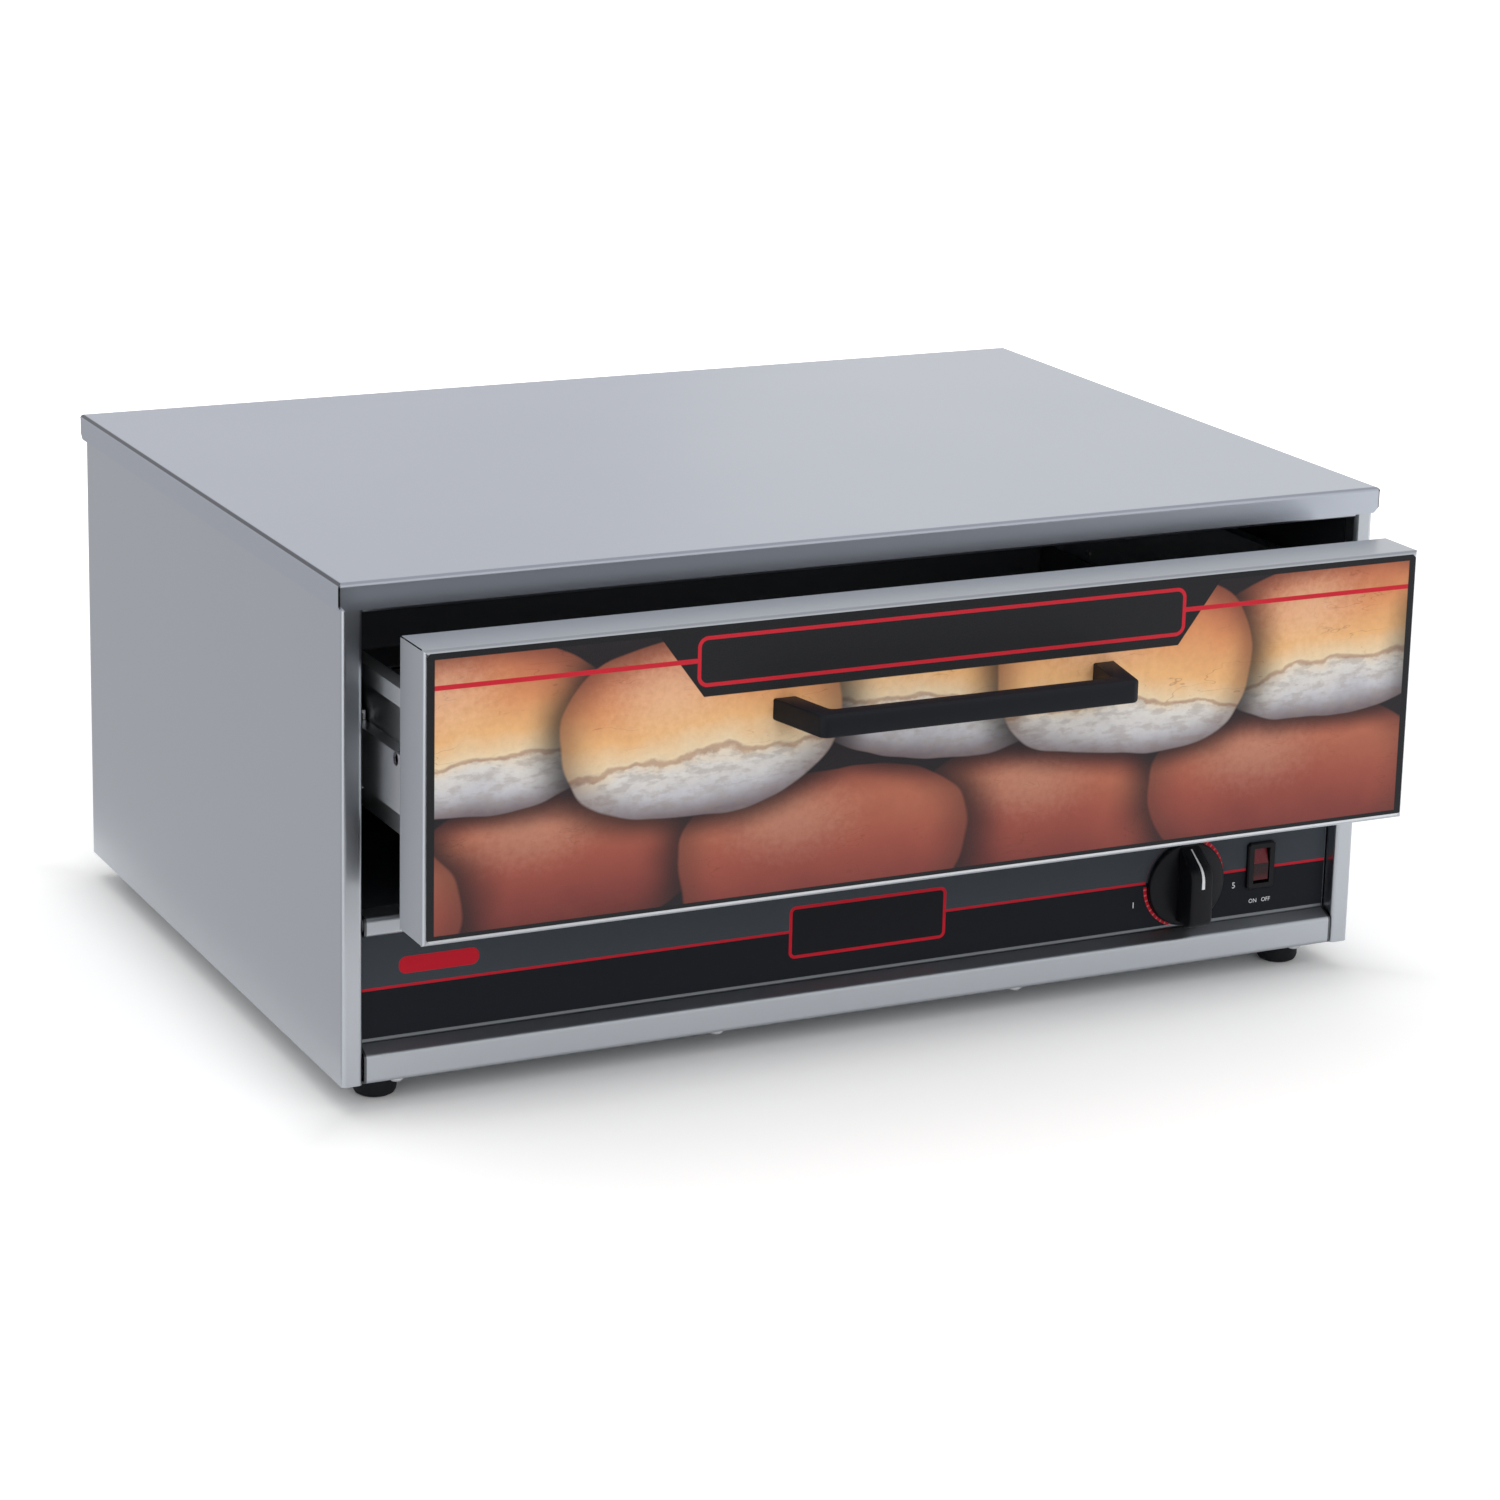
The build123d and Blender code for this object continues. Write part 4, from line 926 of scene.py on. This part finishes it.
# The numbers are the head's radius and height, the shank's radius and length, and a seed.
screws("lid_screws", "back", "cabinet", 3.4, 1.8, 1.9, 7.0, 1)
screws("rear_panel_screws", "back", "cabinet", 3.4, 1.8, 1.9, 7.0, 2)
screws("fascia_screws", "down", "cabinet", 3.8, 2.4, 1.9, 7.0, 3)
screws("foot_screws", "down", "cabinet", 3.4, 1.8, 1.9, 10.5, 4)
screws("drawer_screws", "back", "drawer", 3.4, 1.8, 1.9, 4.0, 5)
screws("handle_screws", "back", "drawer", 4.0, 2.4, 1.9, 12.0, 6)
screws("slide_screws_cabinet", "left", "cabinet", 3.2, 0.7, 1.8, 4.4, 7, at_right)
screws("slide_screws_cabinet", "right", "cabinet", 3.2, 0.7, 1.8, 4.4, 8, at_left)
screws("slide_screws_drawer", "right", "drawer", 3.2, 0.7, 1.8, 8.9, 9, at_right)
screws("slide_screws_drawer", "left", "drawer", 3.2, 0.7, 1.8, 8.9, 10, at_left)

# %% [markdown]
# ## Slide balls by Geometry Nodes
# A telescopic slide runs on rows of steel balls held at an even pitch by a strip, the cage.
# They lie in the races above and below each member. A second tree makes a row: a line of
# points, a ball on each, and the strip beside them. Each row sits where both members
# overlap at every opening of the drawer, and travels with the middle member.

# %% The ball tree
ball_tree, given = tree_with("ball_row", {
    "Rows": "Geometry", "Ball Radius": "Float", "Pitch": "Float", "Count": "Int",
    "Finish": "Material",
})
g = given["Rows"]
radius, pitch, count = given["Ball Radius"], given["Pitch"], given["Count"]
step = vector(g, y=pitch)
line = g.node("GeometryNodeMeshLine", {"mode": "OFFSET"}, {"Count": count, "Offset": step})
ball = g.node("GeometryNodeMeshIcoSphere", None, {"Radius": radius, "Subdivisions": 2})
balls = g.node("GeometryNodeInstanceOnPoints", None, {"Points": line, "Instance": ball})
length = pitch * count
strip_size = vector(g, radius * 2.2, length, radius * 0.35)
strip = g.node("GeometryNodeMeshCube", None, {"Size": strip_size})
strip = g.node("GeometryNodeTransform", None, {
    "Geometry": strip, "Translation": vector(g, y=(length - pitch) * 0.5)
})
row = g.node("GeometryNodeJoinGeometry")
for part in (balls, strip):
    ball_tree.links.new(part.output, row.output.node.inputs[0])
rows_made = g.node("GeometryNodeInstanceOnPoints", None, {"Points": g, "Instance": row})
close_tree(ball_tree, rows_made, given["Finish"])
print("ball tree has", len(ball_tree.nodes), "nodes")

# %% Place the ball rows
slide_z, liner_x = 143.5, 249.4
# For the inner and the outer races: how far in from the liner, how far above and below the
# slide's middle, and where a row starts.
races = ((8.8, 14.6, 66), (7.6, 19.0, 196))
for side, name in ((-1, "left"), (1, "right")):
    starts = []
    for depth, rise, first in races:
        across, back = side * (liner_x - depth), first - drawer_open / 2
        for way in (-1, 1):
            starts.append(at(across, back, slide_z + way * rise))
    points = bpy.data.meshes.new("ball_starts")
    points.from_pydata(starts, [], [])
    mesh = evaluate("balls_" + name, points, ball_tree, {
        "Ball Radius": 1.4 * MM, "Pitch": 6.5 * MM, "Count": 14, "Finish": finishes["slide_steel"],
    })
    dress("slide_balls_" + name, mesh, "slide_steel", "slide_middle_" + name)

# %% [markdown]
# ## Marks on the panel
# Plain numbers stand at the dial's ends, and the words ON and OFF under the switch, all in
# white paint. Text starts as a curve, is made a mesh, and is then moved to the panel.

# %% Marks
paint_thick = 0.02


def mark(name, text, size, x, z):
    """A line of text, size millimetres tall, painted on the panel."""
    letters = bpy.data.curves.new(name, "FONT")
    letters.body = text
    letters.size = size * MM
    letters.align_x = "CENTER"
    letters.align_y = "CENTER"
    letters.extrude = paint_thick * MM
    letters.resolution_u = 3
    writer = bpy.data.objects.new(name + "_curve", letters)
    bpy.context.scene.collection.objects.link(writer)
    bpy.context.view_layer.update()
    graph = bpy.context.evaluated_depsgraph_get()
    mesh = bpy.data.meshes.new_from_object(writer.evaluated_get(graph))
    bpy.data.objects.remove(writer)
    on_panel = Matrix.Translation(at(x, panel_face - paint_thick, z))
    mesh.transform(on_panel @ flat_to_front)
    dress(name, mesh, "white_paint", "cabinet")


mark("dial_low", "1", 4.2, 141.0, 30.0)
mark("dial_high", "5", 4.2, 196.5, 33.0)
mark("switch_words", "ON   OFF", 2.9, 211.5, 24.0)

# %% [markdown]
# ## Floor, light and camera
# The object stands on a white sweep in soft light. The world is white to the camera and to
# reflections, and dimmer as a light, so that metal mirrors a bright room while the lamps
# give the shading. The floor adds some light of its own to what the camera sees, which
# makes it white where no shadow falls. Under the cabinet it adds none, and near it little,
# so that the lamps' shadow stays and a painted shadow darkens the floor round the cabinet's
# footprint.

# %% World
def seen_rays(graph):
    """1 for rays from the camera, in a reflection or through glass, 0 for the others."""
    camera_ray, glossy_ray, through_ray = (
        graph.node("ShaderNodeLightPath", None, None, name + " Ray")
        for name in ("Is Camera", "Is Glossy", "Is Transmission")
    )
    return larger(camera_ray, larger(glossy_ray, through_ray))


world = bpy.data.worlds.new("studio")
bpy.context.scene.world = world
world.use_nodes = True
background = world.node_tree.nodes["Background"]
background.inputs["Color"].default_value = (1, 1, 1, 1)
as_light = 0.58
brightness = seen_rays(Socket(world.node_tree)) * (1 - as_light) + as_light
world.node_tree.links.new(brightness.output, background.inputs["Strength"])
print("the world gives", as_light, "as a light and 1 where it is seen")

# %% Floor
floor_mesh = bpy.data.meshes.new("floor")
floor_mesh.from_pydata([(-9, -9, 0), (9, -9, 0), (9, 9, 0), (-9, 9, 0)], [], [(0, 1, 2, 3)])
floor = bpy.data.objects.new("floor", floor_mesh)
bpy.context.scene.collection.objects.link(floor)
graph, paper = new_material("white_sweep")
feed(graph, paper, Base_Color=(0.86, 0.86, 0.86, 1), Roughness=0.9, Specular_IOR_Level=0.1)
x, y, *_ = place(graph)
away = ((x * x) + (y * y)) ** 0.5
over_x = abs(x) - rear_high.x
over_y = abs(y - (front_y + rear_high.y) / 2) - (rear_high.y - front_y) / 2
outside = larger(over_x, over_y)
# Painted shadow: the glow fades out towards the cabinet's footprint.
near_glow = soft_step(outside, -0.035, 0.045) * 0.35
far_glow = soft_step(away, 0.55, 1.6) * 0.5
share = (near_glow + far_glow) * seen_rays(graph)
glow = graph.node("ShaderNodeEmission", None, {"Color": (1, 1, 1, 1), "Strength": 1.0})
nothing = graph.node("ShaderNodeEmission", None, {"Color": (1, 1, 1, 1), "Strength": 0.0})
extra = graph.node("ShaderNodeMixShader", None, {0: share, 1: nothing, 2: glow})
both = graph.node("ShaderNodeAddShader", None, {0: Socket(graph.tree, paper.outputs[0]), 1: extra})
graph.tree.links.new(both.output, graph.tree.nodes["Material Output"].inputs["Surface"])
floor_mesh.materials.append(finishes["white_sweep"])
print("floor drawn with", len(graph.tree.nodes), "nodes")

# %% [markdown]
# Two large square lamps light the object, one overhead and one in front. Glossy rays don't
# see them: mirrored in steel they would draw hard bright lines along every bend.

# %% Lamps
aim = Vector((0, 0, 0.1))
for name, spot, size, power in (
    ("key", (-0.35, 0.4, 2.6), 3.0, 25),
    ("front", (0.4, -3.4, 2.0), 3.2, 51),
):
    light = bpy.data.lights.new(name, "AREA")
    light.size = size
    light.energy = power
    lamp = bpy.data.objects.new(name, light)
    lamp.location = spot
    lamp.rotation_euler = (aim - Vector(spot)).to_track_quat("-Z", "Y").to_euler()
    lamp.visible_glossy = False
    bpy.context.scene.collection.objects.link(lamp)
    print(name, "lamp of", power, "W")

# %% [markdown]
# A photographer darkens part of a metal's reflection with a dark card, called a flag. A
# black one lies on the floor in front, where the post and the lid's edge mirror it, a grey
# one to the left for the side, and one hangs overhead, for the bends. A pale one stands
# behind at the left, where the lid's top mirrors it. Only glossy rays see them, so they
# leave no shadow and aren't in the picture.

# %% Flags
def flag(name, corners, grey):
    """A glowing card of the given corners, black at 0 and white at 1."""
    mesh = bpy.data.meshes.new(name)
    mesh.from_pydata(corners, [], [tuple(range(len(corners)))])
    card = bpy.data.objects.new(name, mesh)
    material = bpy.data.materials.new(name)
    material.use_nodes = True
    tree = material.node_tree
    colour = (grey, grey, grey * 1.03, 1)
    shade = Socket(tree).node("ShaderNodeEmission", None, {"Color": colour, "Strength": 1.0})
    tree.links.new(shade.output, tree.nodes["Material Output"].inputs["Surface"])
    mesh.materials.append(material)
    bpy.context.scene.collection.objects.link(card)
    card.visible_camera = card.visible_diffuse = card.visible_transmission = False
    card.visible_volume_scatter = card.visible_shadow = False
    print(name, "at grey", grey)


flag("front_flag", [
    (-0.60, -0.46, 0.004), (-0.06, -0.46, 0.004), (0.0, -0.60, 0.004), (0.55, -0.64, 0.004),
    (4.9, -8.5, 0.004), (-3.0, -8.5, 0.004),
], 0.0)
flag("left_flag", [
    (-8.0, -0.9, 0.003), (-0.28, -0.12, 0.003), (-0.28, 8.0, 0.003), (-8.0, 8.0, 0.003),
], 0.64)
flag("ceiling_flag", [(-1.6, -1.3, 1.6), (1.6, -1.3, 1.6), (1.6, 1.7, 1.6), (-1.6, 1.7, 1.6)], 0.66)
flag("back_flag", [
    (-4.4, 2.55, 0.01), (2.1, 4.54, 0.01), (2.1, 4.54, 3.0), (-4.4, 2.55, 3.0),
], 0.87)

# %% [markdown]
# The camera's place was solved from the photograph: the cabinet's corners give two
# vanishing points, and with them the view's turn, tilt and distance.

# %% Camera
turn, tilt, roll = (math.radians(a) for a in (-26.212, 14.467, 1.350))
lens_data = bpy.data.cameras.new("camera")
lens_data.sensor_width = 36
lens_data.sensor_fit = "HORIZONTAL"
lens_data.lens = 100.64
lens_data.shift_y = -0.1
stand = (-0.85384, -1.73146, 0.67240)
camera = bpy.data.objects.new("camera", lens_data)
camera.matrix_world = (
    Matrix.Translation(stand)
    @ Matrix.Rotation(turn, 4, "Z")
    @ Matrix.Rotation(math.pi / 2 - tilt, 4, "X")
    @ Matrix.Rotation(roll, 4, "Z")
)
bpy.context.scene.collection.objects.link(camera)
bpy.context.scene.camera = camera
bpy.context.scene.view_settings.view_transform = "Standard"
print("camera", round(Vector(stand).length, 3), "m from the model's zero")
